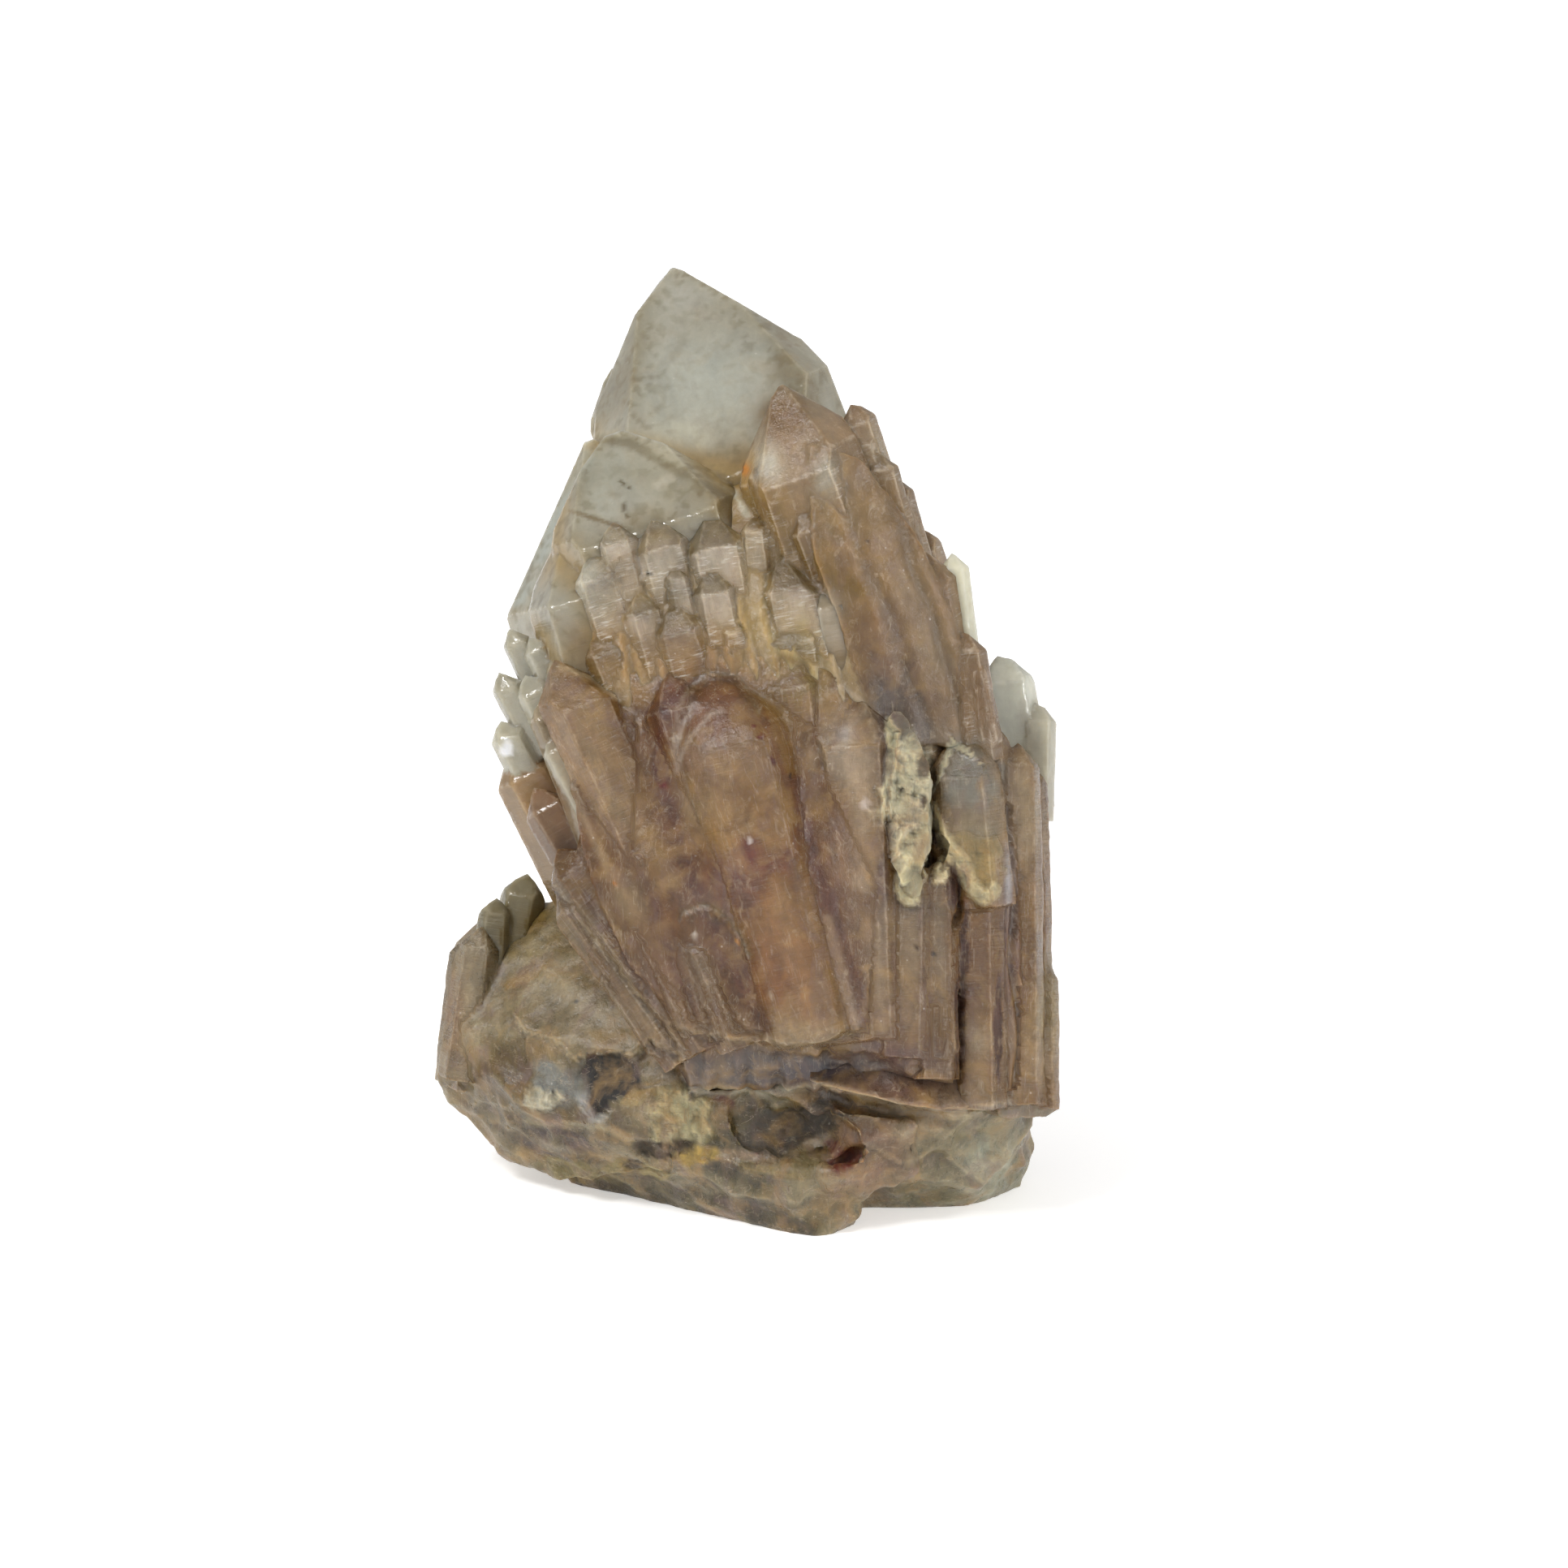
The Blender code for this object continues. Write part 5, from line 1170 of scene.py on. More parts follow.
def noise_at(points, period, seed):
    """Smooth random values from -1 to 1 at these points, about one swell for each period."""
    rng = np.random.default_rng(seed)
    knots = rng.uniform(-1, 1, KNOTS**3).astype(np.float32)
    turned = points @ np.array(Matrix.Rotation(1.1, 3, (1, 2, 3))) / period
    cell = np.floor(turned).astype(int)
    part = (turned - cell).astype(np.float32)
    part = part * part * (3 - 2 * part)
    total = 0
    for i in (0, 1):
        for j in (0, 1):
            for k in (0, 1):
                share = (part[:, 0] if i else 1 - part[:, 0]) * (part[:, 1] if j else 1 - part[:, 1])
                share = share * (part[:, 2] if k else 1 - part[:, 2])
                x, y, z = ((cell + (i, j, k)) % KNOTS).T
                total = total + share * knots[(x * KNOTS + y) * KNOTS + z]
    return total


def scallops(points, size, seed):
    """Heights from 0 up: the shallow round hollows and sharp ridges of broken quartz."""
    rng = np.random.default_rng(seed)
    table = rng.uniform(0, 1, (KNOTS**3, 4)).astype(np.float32)
    scaled = points / size
    cell = np.floor(scaled).astype(int)
    lowest = np.full(len(points), 9.0)
    for step in np.ndindex(3, 3, 3):
        here = cell + np.array(step) - 1
        x, y, z = (here % KNOTS).T
        entry = table[(x * KNOTS + y) * KNOTS + z]
        far = ((scaled - here - entry[:, :3]) ** 2).sum(1) + 0.35 * entry[:, 3]
        lowest = np.minimum(lowest, far)
    return lowest


def step_between(low, high, values):
    """0 below low, 1 above high, and smooth between."""
    t = np.clip((values - low) / (high - low), 0, 1)
    return t * t * (3 - 2 * t)


class Skin:
    """The relief and the colour of every point of a piece."""

    def __init__(self, forms, points, normals, found):
        self.points, self.found = points, found
        self.across, self.up, _ = as_seen(points)
        self.front = step_between(-0.1, 0.3, normals @ TOWARDS_VIEWER)
        groups = [form.group.removeprefix("sliver_") for form in forms]
        tints = [COLOURS.get(form.name, COLOURS[group]) for form, group in zip(forms, groups)]
        self.group = np.array(groups)[found["form"]]
        self.name = np.array([form.name for form in forms])[found["form"]]
        self.tint = linear(tints)[found["form"]]
        self.swell = noise_at(points, 5.0, 21)
        self.patch = noise_at(points, 2.0, 22)
        self.other = noise_at(points, 1.7, 24)
        self.grain = noise_at(points, 0.9, 23)
        self.fine = noise_at(points, 0.45, 25)
        self.broken = scallops(points * (0.75, 1, 1.2), 3.2, 31)
        self.chips = scallops(points, 1.3, 32)
        self.grown = self.group != "lump"
        self.stone = np.isin(self.name, STONE)
        self.column = np.isin(self.group, ("column", "back")) | np.isin(self.name, COLUMN_LUMPS)
        self.chalk = np.where(np.isin(self.name, CHALK), 1.0, 0.0)
        self.height = np.zeros(len(points))

    def mix(self, colour, weight):
        """Moves each point's colour towards another by its weight."""
        weight = np.clip(weight, 0, 1)[:, None]
        self.tint = self.tint * (1 - weight) + linear(colour) * weight

    def far_from(self, place, half, turn, ragged):
        """How far each point is from an ellipse's middle, in half sizes, with a ragged edge."""
        wobble = ragged * min(half)
        a = self.across - place[0] + wobble * (self.patch + 0.6 * self.grain)
        b = self.up - place[1] + wobble * (self.other + 0.6 * self.grain)
        c, s = math.cos(math.radians(turn)), math.sin(math.radians(turn))
        return np.hypot((c * a + s * b) / half[0], (c * b - s * a) / half[1])

    def near_line(self, line):
        """Each point's distance from a line, which side it is on (1 above) and how far past its ends."""
        nearest = np.full(len(self.points), 99.0)
        side, past = np.zeros(len(self.points)), np.zeros(len(self.points))
        for k, ((a, b), (c, d)) in enumerate(zip(line, line[1:])):
            length = math.hypot(c - a, d - b)
            along = ((self.across - a) * (c - a) + (self.up - b) * (d - b)) / length
            off = ((self.up - b) * (c - a) - (self.across - a) * (d - b)) / length
            kept = np.clip(along, 0, length)
            gap = np.hypot(along - kept, off)
            closer = gap < nearest
            nearest[closer] = gap[closer]
            side[closer] = np.sign(off[closer])
            is_past = (k == 0) & (along < 0) | (k == len(line) - 2) & (along > length)
            past[closer] = np.where(is_past, np.abs(along - kept), 0)[closer]
        return nearest, side, past

    def relief(self):
        """Moves the points of the front out or in by ledges, crusts and windows."""
        for line, height, fade in LEDGES:
            gap, side, past = self.near_line(line)
            gap = gap * side + 0.3 * self.patch + 0.2 * self.grain
            ends = np.exp(-past / 0.8)
            self.height += height * step_between(-0.12, 0.2, gap) * np.exp(-np.maximum(gap, 0) / fade) * ends
            self.mix(LIP, 0.35 * self.front * np.exp(-np.abs(gap - 0.15) / 0.18) * ends)
            # painted shade: a dark band just under each ledge
            self.mix(LEDGE_SHADE, 0.5 * self.front * np.exp(-np.abs(gap + 0.35) / 0.3) * ends)
        for place, half, turn, height, colour, rough in CRUSTS:
            mask = step_between(1.15, 0.8, self.far_from(place, half, turn, 0.42))
            crumbs = 0.2 * self.other + 0.3 * self.grain + 0.35 * self.fine
            self.height += height * mask * (0.8 + rough * crumbs)
            tone = 0.5 + 0.5 * self.grain + 0.4 * self.fine
            self.mix(colour, 0.92 * mask * self.front)
            self.mix(CRUST_DIRT, 0.4 * mask * self.front * step_between(0.4, 0.0, tone))
            self.chalk = np.maximum(self.chalk, mask * self.front)
        for place, half, turn, height, colour in WINDOWS:
            mask = step_between(1.2, 0.8, self.far_from(place, half, turn, 0.6))
            self.height += height * mask
            self.mix(colour, 0.95 * mask * self.front)
            self.chalk = self.chalk * (1 - mask) + 0.6 * mask
        for line, half, height, colour in RIMS:
            gap, _, past = self.near_line(line)
            mask = step_between(1.3, 0.5, (gap + 0.12 * self.patch + 0.14 * self.grain + past) / half)
            self.height += height * mask * (1 + 0.4 * self.fine)
            self.mix(colour, 0.9 * mask * self.front)
            self.chalk = np.maximum(self.chalk, mask * self.front)
        self.height *= self.front

    def stain(self, place, half, turn, colour, strength):
        """Tints an ellipse of the front, softly."""
        far = self.far_from(place, half, turn, 0.35)
        self.mix(colour, strength * self.front / (1 + far**4))

    def vein(self, line, half, colour, strength):
        """Tints a line on the front, softly."""
        gap, _, past = self.near_line(line)
        gap = gap + 0.5 * half * self.patch + 0.4 * half * self.grain + past
        self.mix(colour, strength * self.front / (1 + (gap / half) ** 4))

    def speck(self, place, radius, colour):
        """Tints a small round spot of the front, sharply."""
        far = self.far_from(place, (radius, radius), 0, 0.3)
        self.mix(colour, 0.95 * self.front * step_between(1.3, 0.8, far))


def paint(forms, points, normals, found):
    """A piece's moved points and its layers of colour."""
    skin = Skin(forms, points, normals, found)
    ground_tones(skin)
    for fact in STAINS:
        skin.stain(*fact)
    for fact in VEINS:
        skin.vein(*fact)
    edge_tones(skin)
    skin.relief()
    for fact in SPECKS:
        skin.speck(*fact)
    facet_tones(skin, forms)
    skin.tint = np.maximum(skin.tint - GLOSS, 0.25 * skin.tint) / LIGHT
    moved = points + normals * broken_relief(skin)[:, None] + TOWARDS_VIEWER * skin.height[:, None]
    on_foot = np.maximum(points[:, 2], 0)
    moved[:, 2] = np.where(points[:, 2] < FOOT_FLAT, on_foot, np.maximum(moved[:, 2], FOOT_FLAT))
    sides = skin.grown & (found["kind"] == SIDE)
    return moved, {
        "tint": skin.tint,
        "clear": np.clip(clearness(skin), 0, 1),
        "own": found["own"],
        "chalk": skin.chalk,
        "side": sides * np.where(skin.group == "ridge", 0.4, 1.0),
        "edge": np.where(skin.grown, found["edge"], NO_EDGE),
    }


def ground_tones(skin):
    """Broad light and dark of the columns, the stone and the middle rows, with painted shade and painted
    reflection on the rows' faces.
    """
    kind, row = skin.found["kind"], skin.group == "row"
    skin.mix((98, 70, 46), 0.5 * step_between(0.05, 0.7, skin.swell) * skin.column)
    pale_ground = skin.column | (skin.group == "ridge")
    skin.mix((166, 142, 104), 0.5 * step_between(0.05, 0.7, -skin.swell) * pale_ground)
    skin.mix((110, 82, 70), 0.35 * step_between(0.1, 0.8, skin.other) * skin.column)
    skin.mix((104, 92, 68), 0.5 * step_between(0, 0.7, skin.swell) * skin.stone)
    skin.mix((150, 138, 108), 0.5 * step_between(0, 0.7, -skin.patch) * skin.stone)
    # painted light: the rows' tip faces darker as painted shade, their side faces paler as painted
    # reflection of the front light
    skin.mix((146, 130, 100), 0.9 * ((kind == CAP) & row))
    skin.mix((220, 206, 188), 0.7 * ((kind == SIDE) & row) * step_between(-0.3, 0.5, skin.other))
    skin.mix((146, 122, 88), 0.9 * step_between(46.6, 44.0, skin.up + 0.6 * skin.patch) * row)


def edge_tones(skin):
    """The crown's rims, the grooves between crystals with their painted shade, and the broken faces of the
    stone.
    """
    crown, edge, crease = skin.group == "crown", skin.found["edge"], skin.found["crease"]
    # the crown is brown towards its edges, partly its own cloudy tone and partly painted shade of the light
    # its faces bend, and gold where other crystals grow out of it
    skin.mix((150, 142, 119), 0.7 * crown * np.exp(-edge / 1.4) * (0.8 + 0.4 * skin.patch))
    skin.mix((188, 160, 106), 0.7 * crown * step_between(2.4, 0.3, crease) * step_between(64, 60, skin.up))
    speckle = step_between(0.1, 0.5, skin.fine + 0.4 * skin.grain)
    skin.mix((128, 116, 88), 0.5 * crown * speckle * np.exp(-edge / 2.4))
    # painted shade: the columns and the ridge darker in the grooves and fillets between crystals; the rows'
    # grooves get their gold instead, laid on bright to lift the shade there
    groove_shade = np.exp(-crease / 0.4)
    fillet_shade = np.clip(skin.found["best"], 0, 0.5) / 0.3
    skin.mix((104, 76, 54), 0.35 * skin.column * groove_shade + 0.3 * skin.column * fillet_shade)
    skin.mix((112, 88, 64), (0.2 * groove_shade + 0.2 * fillet_shade) * (skin.group == "ridge"))
    skin.mix((150, 120, 70), 0.5 * (skin.group == "row") * groove_shade)
    skin.mix((168, 156, 126), 0.35 * skin.stone * step_between(0.45, 0.7, skin.broken))
    skin.mix((94, 82, 60), 0.35 * skin.stone * step_between(0.3, 0.1, skin.broken))


def facet_tones(skin, forms):
    """Each crystal a little lighter or darker, each facet too, as painted light that stands in for the light
    each face lets through, and fine mottling over all.
    """
    which, face = skin.found["form"], skin.found["face"]
    tones = np.random.default_rng(5).uniform(-1, 1, TONES)
    painted_facet_light = np.where(skin.grown, tones[(which * 37 + face * 11) % TONES], 0)
    own_tone = np.array([random.Random(form.name + "tone").uniform(-1, 1) for form in forms])[which]
    crown = skin.group == "crown"
    calm = np.where(crown, 0.35, 1)
    apart = (0.05 * own_tone + np.where(skin.column, 0.06, 0.1) * painted_facet_light) * skin.grown * ~crown
    mottle = calm * (0.05 * skin.patch + 0.06 * skin.grain + 0.05 * skin.fine)
    skin.tint *= (1 + (apart + mottle))[:, None]


def broken_relief(skin):
    """How far each point moves along its normal, in millimetres. Ribs of the webs are tinted as well."""
    is_lobe = skin.name == "lobe_body"
    smoothness = np.where(is_lobe, 0.45, 1.0) * skin.stone
    smoothness = smoothness * np.where(is_lobe, step_between(17, 12, skin.up) + 0.5, 1)
    above_floor = step_between(0.0, 1.5, skin.points[:, 2])
    lift = smoothness * (1.1 * (skin.broken - 0.45) + 0.3 * (skin.chips - 0.45)) * above_floor
    for name, (lean, pitch, height) in WEB_RIBS.items():
        aside = skin.across * math.cos(lean) + skin.up * math.sin(lean) + 0.5 * skin.swell
        turn = math.tau * aside / pitch
        rib = np.sin(turn) + 0.5 * np.sin(turn * 1.7 + 2 + skin.patch)
        lift += np.where(skin.name == name, height * rib * skin.front, 0)
        skin.tint *= np.where(skin.name == name, 1 + 0.12 * rib * skin.front, 1)[:, None]
    lift += 0.015 * skin.fine * skin.column + 0.06 * skin.fine * skin.stone
    crumbs = 0.35 + 0.3 * skin.other + 0.15 * skin.grain + 0.12 * skin.fine
    lift += np.isin(skin.name, CHALK) * crumbs
    lift += 0.12 * np.isin(skin.name, ("ridge_web", "row_web")) * (skin.chips - 0.45)
    return lift


def clearness(skin):
    """How see-through each point is: the clear points all over, the milky ones at tips and edges."""
    crown = skin.group == "crown"
    if (crown | (skin.group == "left")).any():
        clear = np.where(crown, np.where(skin.name == "crown_left", 0.15, 0.28), 0.25)
        return clear * (1 - 0.8 * skin.chalk)
    deep = np.clip(skin.found["own"][:, 2], 0, 30)
    near_tip = np.exp(-deep / 3.0) * skin.grown + 0.5 * np.exp(-skin.found["edge"] / 0.4) * skin.grown
    clear = np.where(skin.group == "row", 0.55, 0.25) * np.clip(near_tip, 0, 1)
    return clear * (1 - skin.chalk) * step_between(-0.9, 0.4, skin.patch)


def mesh_piece(name, points, faces):
    """A smooth mesh object from points in millimetres."""
    mesh = bpy.data.meshes.new(name)
    mesh.vertices.add(len(points))
    mesh.vertices.foreach_set("co", (points * MM).astype(np.float32).ravel())
    mesh.loops.add(faces.size)
    mesh.loops.foreach_set("vertex_index", faces.astype(np.int32).ravel())
    mesh.polygons.add(len(faces))
    mesh.polygons.foreach_set("loop_start", np.arange(0, faces.size, 4, dtype=np.int32))
    mesh.update(calc_edges=True)
    mesh.validate()
    mesh.shade_smooth()
    thing = bpy.data.objects.new(name, mesh)
    bpy.context.scene.collection.objects.link(thing)
    return thing


def add_layers(mesh, layers):
    """Stores layers of values, vectors or colours on the points of a mesh."""
    for name, values in layers.items():
        if values.ndim == 1:
            kind, field = "FLOAT", "value"
        elif name == "tint":
            kind, field = "FLOAT_COLOR", "color"
            values = np.concatenate([values, np.ones((len(values), 1))], 1)
        else:
            kind, field = "FLOAT_VECTOR", "vector"
        layer = mesh.attributes.new(name, kind, "POINT")
        layer.data.foreach_set(field, values.astype(np.float32).ravel())


LONG_GRAIN = (1, 1, 0.11)  # the sutures' noise is drawn out along the crystal
SHORT_GRAIN = (0.6, 0.6, 1.5)
ALONG = (1, 1, 0.6)
# Tinges of the mottled quartz, and the colours of its painted glints and painted edge highlights, in linear
# light
GOLD = (0.33, 0.2, 0.07, 1)
VIOLET = (0.15, 0.09, 0.075, 1)
WISP = (0.5, 0.4, 0.27, 1)
GLINT_SPECK = (0.72, 0.66, 0.56, 1)
EDGE_HIGHLIGHT = (0.7, 0.63, 0.5, 1)
GLINT_STREAK = (0.8, 0.76, 0.68, 1)
# Healed sutures: the scale of their noise, colour and width
SUTURES = ((0.7, (0.09, 0.05, 0.028, 1), 0.014), (0.45, (0.45, 0.36, 0.25, 1), 0.008))
QUARTZ_IOR = 1.54
# piece: its material's name, roughness, contrast, glow, strength of sutures, of painted edge highlights and
# of painted glint streaks across its faces, and the grain of its sutures
MILKY = {
    "columns": ("milky_columns", 0.18, 0.3, 1.0, 0.3, 0.16, 0.0, LONG_GRAIN),
    "rows": ("milky_rows", 0.15, 0.18, 1.0, 0.15, 0.3, 0.5, LONG_GRAIN),
    "base": ("broken_quartz", 0.3, 0.36, 0.9, 0.5, 0.2, 0.0, SHORT_GRAIN),
    "back": ("milky_back", 0.24, 0.24, 1.0, 0.25, 0.25, 0.0, LONG_GRAIN),
}


class Shader:
    """A Principled material, with short calls for its nodes."""

    def __init__(self, name):
        self.material = bpy.data.materials.new(name)
        self.material.use_nodes = True
        self.tree = self.material.node_tree
        self.surface = self.tree.nodes["Principled BSDF"]

    def set(self, **values):
        """Sets inputs of the surface, with _ for the spaces in their names."""
        for name, value in values.items():
            self.surface.inputs[name.replace("_", " ")].default_value = value

    def node(self, kind, inputs=None, **settings):
        """A new node; inputs are values, or outputs of other nodes to link."""
        node = self.tree.nodes.new("ShaderNode" + kind)
        for name, value in settings.items():
            setattr(node, name, value)
        for name, value in (inputs or {}).items():
            if isinstance(value, bpy.types.NodeSocket):
                self.tree.links.new(value, node.inputs[name])
            else:
                node.inputs[name].default_value = value
        return node

    def layer(self, name, output="Fac"):
        """A layer of values that add_layers stored on the mesh."""
        return self.node("Attribute", attribute_name=name).outputs[output]

    def math(self, operation, a, b=0.0):
        """One step of arithmetic on two values."""
        return self.node("Math", {0: a, 1: b}, operation=operation).outputs[0]

    def noise(self, vector, scale, detail=3.0, roughness=0.55, distortion=0.0):
        """Smooth random values round 0.5."""
        inputs = {"Vector": vector, "Scale": scale, "Detail": detail, "Roughness": roughness}
        return self.node("TexNoise", {**inputs, "Distortion": distortion}).outputs["Fac"]

    def spread(self, value, low, high, to_low=0.0, to_high=1.0):
        """Values from low to high, spread over another range."""
        inputs = {"Value": value, "From Min": low, "From Max": high, "To Min": to_low, "To Max": to_high}
        return self.node("MapRange", inputs).outputs[0]

    def stretch(self, vector, factors):
        """A vector with each of its parts multiplied."""
        return self.node("VectorMath", {0: vector, 1: factors}, operation="MULTIPLY").outputs[0]

    def mix(self, factor, a, b):
        """Colour a moved towards colour b by the factor."""
        return self.node("MixRGB", {"Fac": factor, "Color1": a, "Color2": b}).outputs[0]

    def link(self, output, name):
        """Feeds an input of the surface."""
        self.tree.links.new(output, self.surface.inputs[name])

    def bump(self, *heights):
        """Chains (height, depth in metres, strength) into the normal."""
        normal = None
        for height, depth, strength in heights:
            inputs = {"Height": height, "Distance": depth, "Strength": strength}
            if normal is not None:
                inputs["Normal"] = normal
            normal = self.node("Bump", inputs).outputs[0]
        self.link(normal, "Normal")


def quartz_texture(shader, contrast, wisps, lines, edge_highlight, grain=LONG_GRAIN):
    """The mottled colour: clouds, gold and violet tinges, wisps and sutures, with painted glints as pale
    specks and painted highlights along the edges.
    """
    own = shader.layer("own", "Vector")
    tint = shader.layer("tint", "Color")
    mottle = shader.noise(shader.stretch(own, ALONG), 1.0, 8, 0.68, 0.4)
    tone = shader.spread(mottle, 0.3, 0.7, 1 - contrast, 1 + contrast)
    bright = shader.node("VectorMath", {0: tint, "Scale": tone}, operation="SCALE").outputs[0]
    gold = shader.spread(shader.noise(own, 0.35, 4, 0.6, 0.6), 0.5, 0.68, 0, contrast * 1.6)
    tinged = shader.mix(gold, bright, GOLD)
    violet = shader.noise(shader.stretch(own, ALONG), 0.5, 4, 0.6, 0.5)
    tinged = shader.mix(shader.spread(violet, 0.52, 0.68, 0, contrast * 1.4), tinged, VIOLET)
    wisp = shader.noise(shader.stretch(own, (1.3, 1.3, 0.7)), 0.9, 6, 0.66, 1.4)
    tinged = shader.mix(shader.spread(wisp, 0.56, 0.74, 0, wisps), tinged, WISP)
    for scale, colour, width in SUTURES:
        run = shader.noise(shader.stretch(own, grain), scale, 5, 0.6, 0.6)
        off = shader.math("ABSOLUTE", shader.math("SUBTRACT", run, 0.5))
        thin = shader.spread(off, 0, width, lines, 0)
        thin = shader.math("MULTIPLY", thin, shader.spread(mottle, 0.4, 0.55))
        tinged = shader.mix(thin, tinged, colour)
    # painted glints: small pale specks scattered where the mottling is light
    speck = shader.node("TexVoronoi", {"Vector": own, "Scale": 0.8}).outputs["Distance"]
    speck = shader.spread(speck, 0.05, 0.09, 0.3, 0)
    speck = shader.math("MULTIPLY", speck, shader.spread(mottle, 0.5, 0.56))
    tinged = shader.mix(speck, tinged, GLINT_SPECK)
    # painted highlight: pale lines along the crystals' edges, as if they caught the light
    edge = shader.spread(shader.layer("edge"), 0.02, 0.14, edge_highlight, 0)
    edge = shader.math("MULTIPLY", edge, shader.spread(mottle, 0.42, 0.6, 0.1, 1))
    return own, shader.mix(edge, tinged, EDGE_HIGHLIGHT), mottle


def milky_material(name, rough, contrast, glow, lines, edge_highlight, glint_streaks, grain):
    """Milky quartz: glow is how much of the light goes in and comes out again beside."""
    shader = Shader(name)
    own, colour, mottle = quartz_texture(shader, contrast, 0.36, lines, edge_highlight, grain)
    chalk = shader.layer("chalk")
    satin = shader.spread(mottle, 0.3, 0.7, rough - 0.08, rough + 0.1)
    shader.link(shader.math("MAXIMUM", satin, shader.math("MULTIPLY", chalk, 0.85)), "Roughness")
    shader.set(IOR=QUARTZ_IOR, Subsurface_Weight=glow)
    shader.set(Subsurface_Radius=(1.0, 0.75, 0.5), Subsurface_Scale=0.0009)
    shader.link(shader.layer("clear"), "Transmission Weight")
    across = shader.noise(shader.stretch(own, (0.35, 0.35, 3.6)), 1.0, 4, 0.65, 0.3)
    along = shader.noise(shader.stretch(own, (2.4, 2.4, 0.2)), 1.0, 4, 0.6, 0.5)
    sides = shader.layer("side")
    # painted glints: pale streaks across the side faces, like light off their striations
    glint_streak = shader.noise(shader.stretch(own, (0.5, 0.5, 4.5)), 1.1, 5, 0.7, 0.2)
    glint_streak = shader.math("MULTIPLY", shader.spread(glint_streak, 0.5, 0.62, 0, glint_streaks), sides)
    patchy = shader.spread(shader.noise(own, 0.5, 2), 0.46, 0.56)
    glint_streak = shader.math("MULTIPLY", glint_streak, patchy)
    shader.link(shader.mix(glint_streak, colour, GLINT_STREAK), "Base Color")
    crumbs = shader.math("MULTIPLY", shader.noise(own, 4.5, 6, 0.7), chalk)
    shader.bump(
        (shader.math("MULTIPLY", across, sides), 0.00022, 0.7),
        (along, 0.0001, 0.3),
        (shader.noise(own, 3.4, 7, 0.66, 0.4), 0.0002, 0.35),
        (crumbs, 0.0003, 0.6),
    )
    return shader.material


def clear_material():
    """Clear quartz with clouds in it."""
    shader = Shader("clear_quartz")
    own, colour, mottle = quartz_texture(shader, 0.09, 0.12, 0.0, 0.12)
    shader.link(colour, "Base Color")
    shader.link(shader.spread(mottle, 0.3, 0.7, 0.06, 0.2), "Roughness")
    shader.link(shader.layer("clear"), "Transmission Weight")
    shader.set(IOR=QUARTZ_IOR, Subsurface_Weight=1.0)
    shader.set(Subsurface_Radius=(1.0, 0.9, 0.75), Subsurface_Scale=0.0025)
    across = shader.noise(shader.stretch(own, (0.3, 0.3, 3.0)), 1.0, 4, 0.65, 0.3)
    sides = shader.layer("side")
    shader.bump(
        (shader.math("MULTIPLY", across, sides), 0.00012, 0.5),
        (shader.noise(own, 1.2, 5, 0.55), 0.00012, 0.2),
    )
    volume = shader.node("VolumeAbsorption", {"Color": (0.95, 0.88, 0.74, 1), "Density": 12.0})
    output = shader.tree.nodes["Material Output"]
    shader.tree.links.new(volume.outputs[0], output.inputs["Volume"])
    return shader.material


def build():
    """The pieces of the cluster, in place of its CAD node."""
    forms = grown_crystals()
    for name, points in [*LUMPS.items(), *WEBS.items()]:
        forms.append(lump(name, points, False))
    for name, points in ROUNDED.items():
        forms.append(lump(name, points, True))
    materials = {name: milky_material(*looks) for name, looks in MILKY.items()}
    materials["clear_quartz"] = clear_material()
    for name, material in materials.items():
        members = [form for form in forms if piece_of(form) == name]
        points, faces = surface_of(field_of(members, STEPS[name]))
        found = survey(members, points)
        piece = mesh_piece(name, points, faces)
        normals = np.zeros(len(points) * 3, np.float32)
        piece.data.vertex_normals.foreach_get("vector", normals)
        moved, layers = paint(members, points, normals.reshape(-1, 3), found)
        piece.data.vertices.foreach_set("co", (moved * MM).astype(np.float32).ravel())
        piece.data.update()
        add_layers(piece.data, layers)
        piece.data.materials.append(material)
        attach(piece, "root")
        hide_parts("citrine_cluster")


SENSOR = 36  # mm
PICTURE_WIDTH = 120.75  # millimetres of the layout plane across the picture
ROOM_LIGHT = 0.62  # how bright the white room is for the cluster; it is itself seen as white
FLOOR_RADIUS = 3  # m


def camera():
    """The viewer's place, straight out from the layout plane."""
    data = bpy.data.cameras.new("camera")
    data.sensor_width = SENSOR
    data.lens = SENSOR * VIEW_DISTANCE / PICTURE_WIDTH
    data.clip_start = 0.01
    cam = bpy.data.objects.new("camera", data)
    a, b = VIEW_CENTRE
    place = Vector((
        a,
        b * math.sin(VIEW_TILT) - VIEW_DISTANCE * math.cos(VIEW_TILT),
        b * math.cos(VIEW_TILT) + VIEW_DISTANCE * math.sin(VIEW_TILT) - FLOOR,
    )) + ORIGIN_SHIFT
    cam.location = place * MM
    cam.rotation_euler = (math.pi / 2 - VIEW_TILT, 0, 0)
    bpy.context.scene.collection.objects.link(cam)
    bpy.context.scene.camera = cam


def softbox(name, place, aim, size, power):
    """A round soft light, in metres and watts."""
    data = bpy.data.lights.new(name, "AREA")
    data.shape = "DISK"
    data.size = size
    data.energy = power
    light = bpy.data.objects.new(name, data)
    light.location = place
    light.rotation_mode = "QUATERNION"
    light.rotation_quaternion = (Vector(place) - Vector(aim)).to_track_quat("Z", "Y")
    bpy.context.scene.collection.objects.link(light)


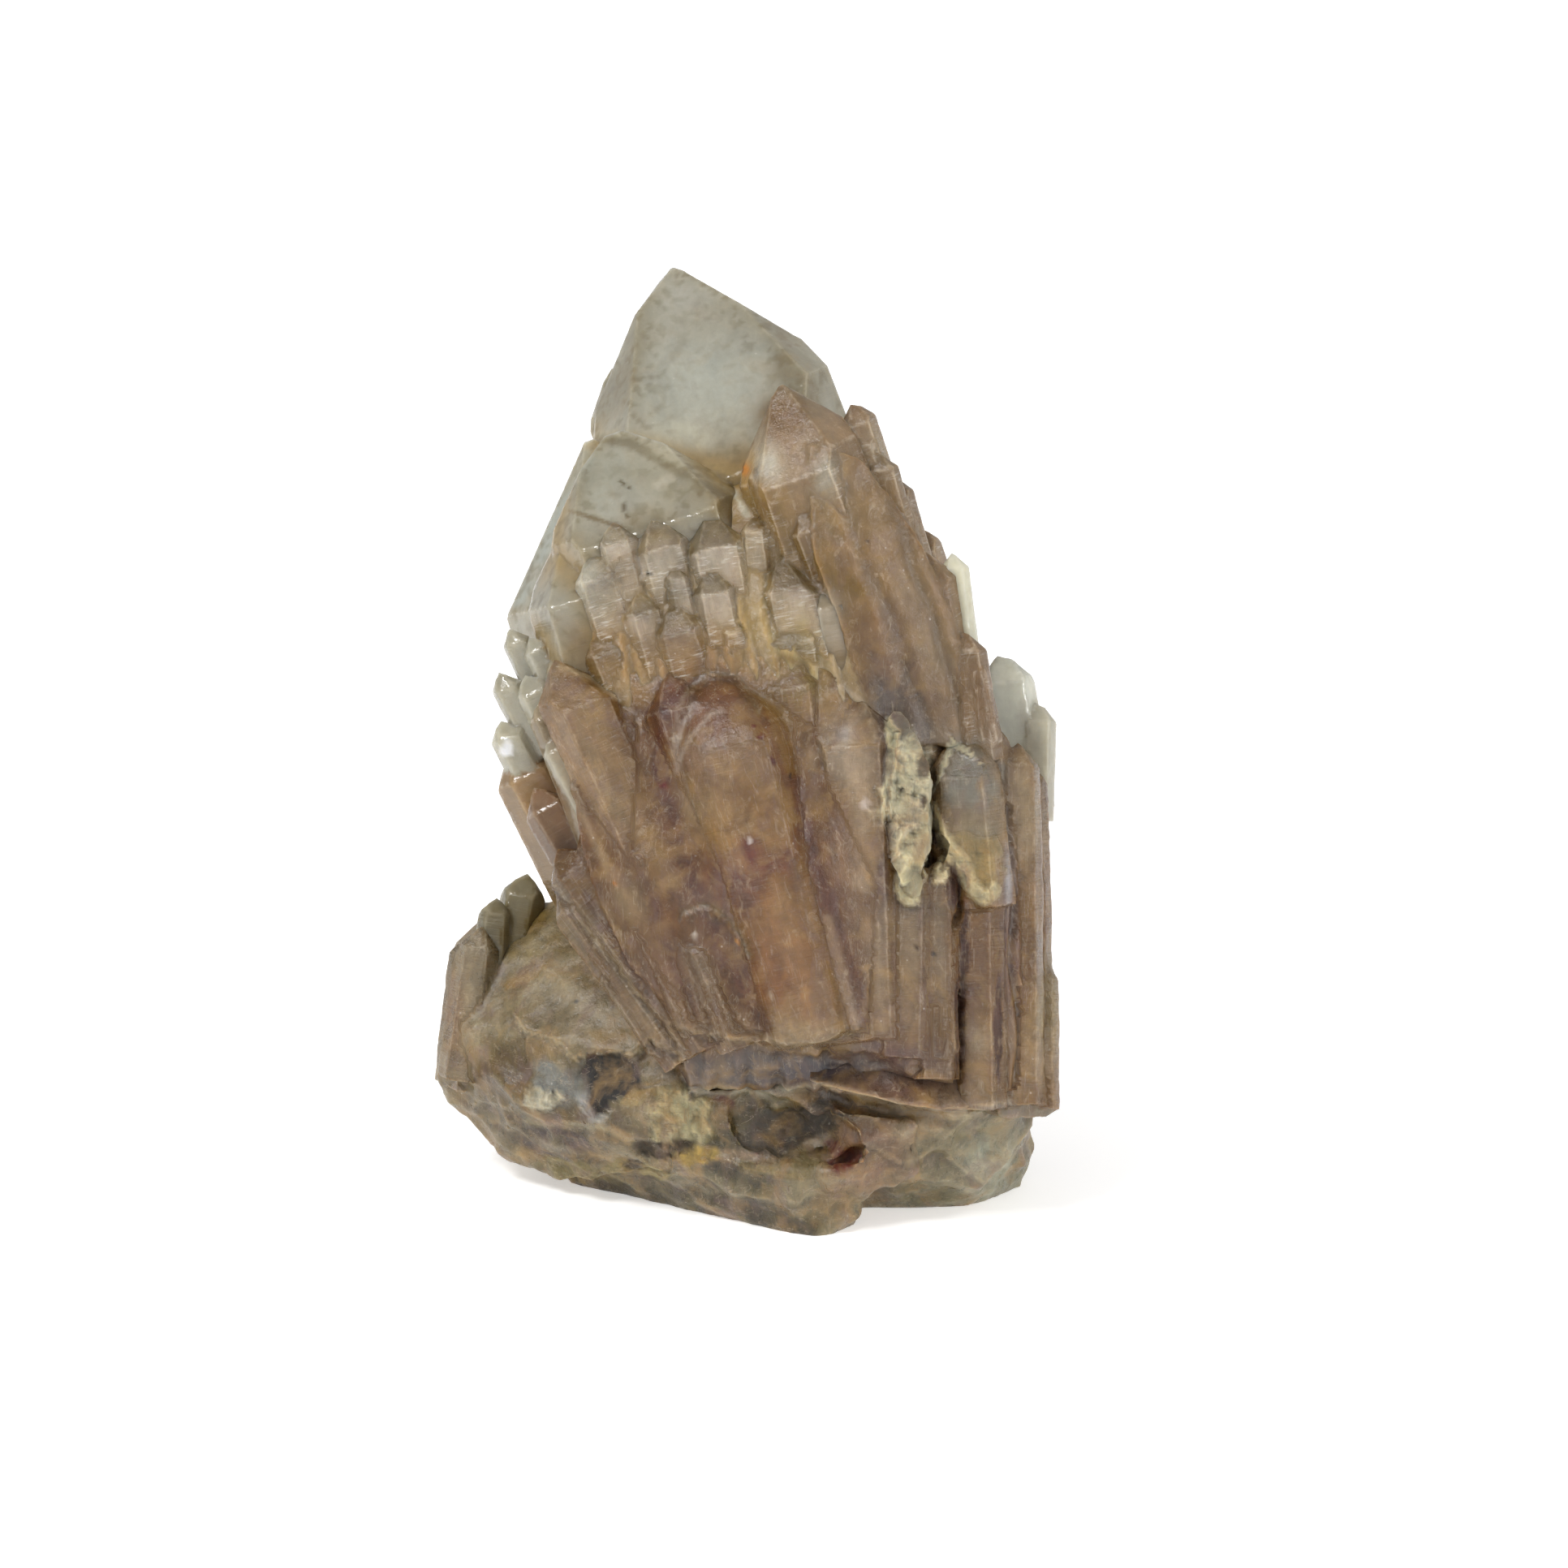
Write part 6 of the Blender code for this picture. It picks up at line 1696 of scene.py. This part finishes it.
def stage():
    """A white room with a white floor and two soft lights."""
    world = bpy.data.worlds.new("studio")
    bpy.context.scene.world = world
    world.use_nodes = True
    background = world.node_tree.nodes["Background"]
    background.inputs["Color"].default_value = (1, 1, 1, 1)
    ray = world.node_tree.nodes.new("ShaderNodeLightPath")
    strength = world.node_tree.nodes.new("ShaderNodeMath")
    strength.operation = "MULTIPLY_ADD"
    strength.inputs[1].default_value = 1 - ROOM_LIGHT
    strength.inputs[2].default_value = ROOM_LIGHT
    world.node_tree.links.new(ray.outputs["Is Camera Ray"], strength.inputs[0])
    world.node_tree.links.new(strength.outputs[0], background.inputs["Strength"])
    mesh = bpy.data.meshes.new("floor")
    shape = bmesh.new()
    bmesh.ops.create_circle(shape, cap_ends=True, segments=64, radius=FLOOR_RADIUS)
    shape.to_mesh(mesh)
    shape.free()
    floor = bpy.data.objects.new("floor", mesh)
    material = bpy.data.materials.new("floor")
    material.use_nodes = True
    surface = material.node_tree.nodes["Principled BSDF"]
    surface.inputs["Base Color"].default_value = (0.94, 0.94, 0.94, 1)
    surface.inputs["Roughness"].default_value = 0.9
    surface.inputs["Emission Color"].default_value = (1, 1, 1, 1)
    surface.inputs["Emission Strength"].default_value = 0.42
    mesh.materials.append(material)
    bpy.context.scene.collection.objects.link(floor)
    softbox("key", (-0.45, -0.5, 0.8), (0, 0, 0.035), 0.3, 6.0)
    softbox("fill", (0.7, -0.45, 0.35), (0, 0, 0.03), 0.3, 2.2)
    bpy.context.scene.view_settings.view_transform = "Standard"


ROUGHER = 1.0
# Size of the grid of each piece in millimetres
STEPS = {"columns": 0.32, "rows": 0.32, "base": 0.34, "back": 0.4, "clear_quartz": 0.32}
STEPS = {name: step * ROUGHER for name, step in STEPS.items()}

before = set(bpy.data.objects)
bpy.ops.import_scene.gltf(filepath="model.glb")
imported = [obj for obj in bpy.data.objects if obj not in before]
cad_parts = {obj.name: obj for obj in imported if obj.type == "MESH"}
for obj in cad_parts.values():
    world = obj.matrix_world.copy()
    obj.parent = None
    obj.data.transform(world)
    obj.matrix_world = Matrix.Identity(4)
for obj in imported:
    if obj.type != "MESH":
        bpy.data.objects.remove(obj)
cad_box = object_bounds()
BOX_LOW, BOX_HIGH = (np.array(corner) / MM + margin for corner, margin in zip(cad_box, (-1.5, 1.5)))
build()
camera()
stage()
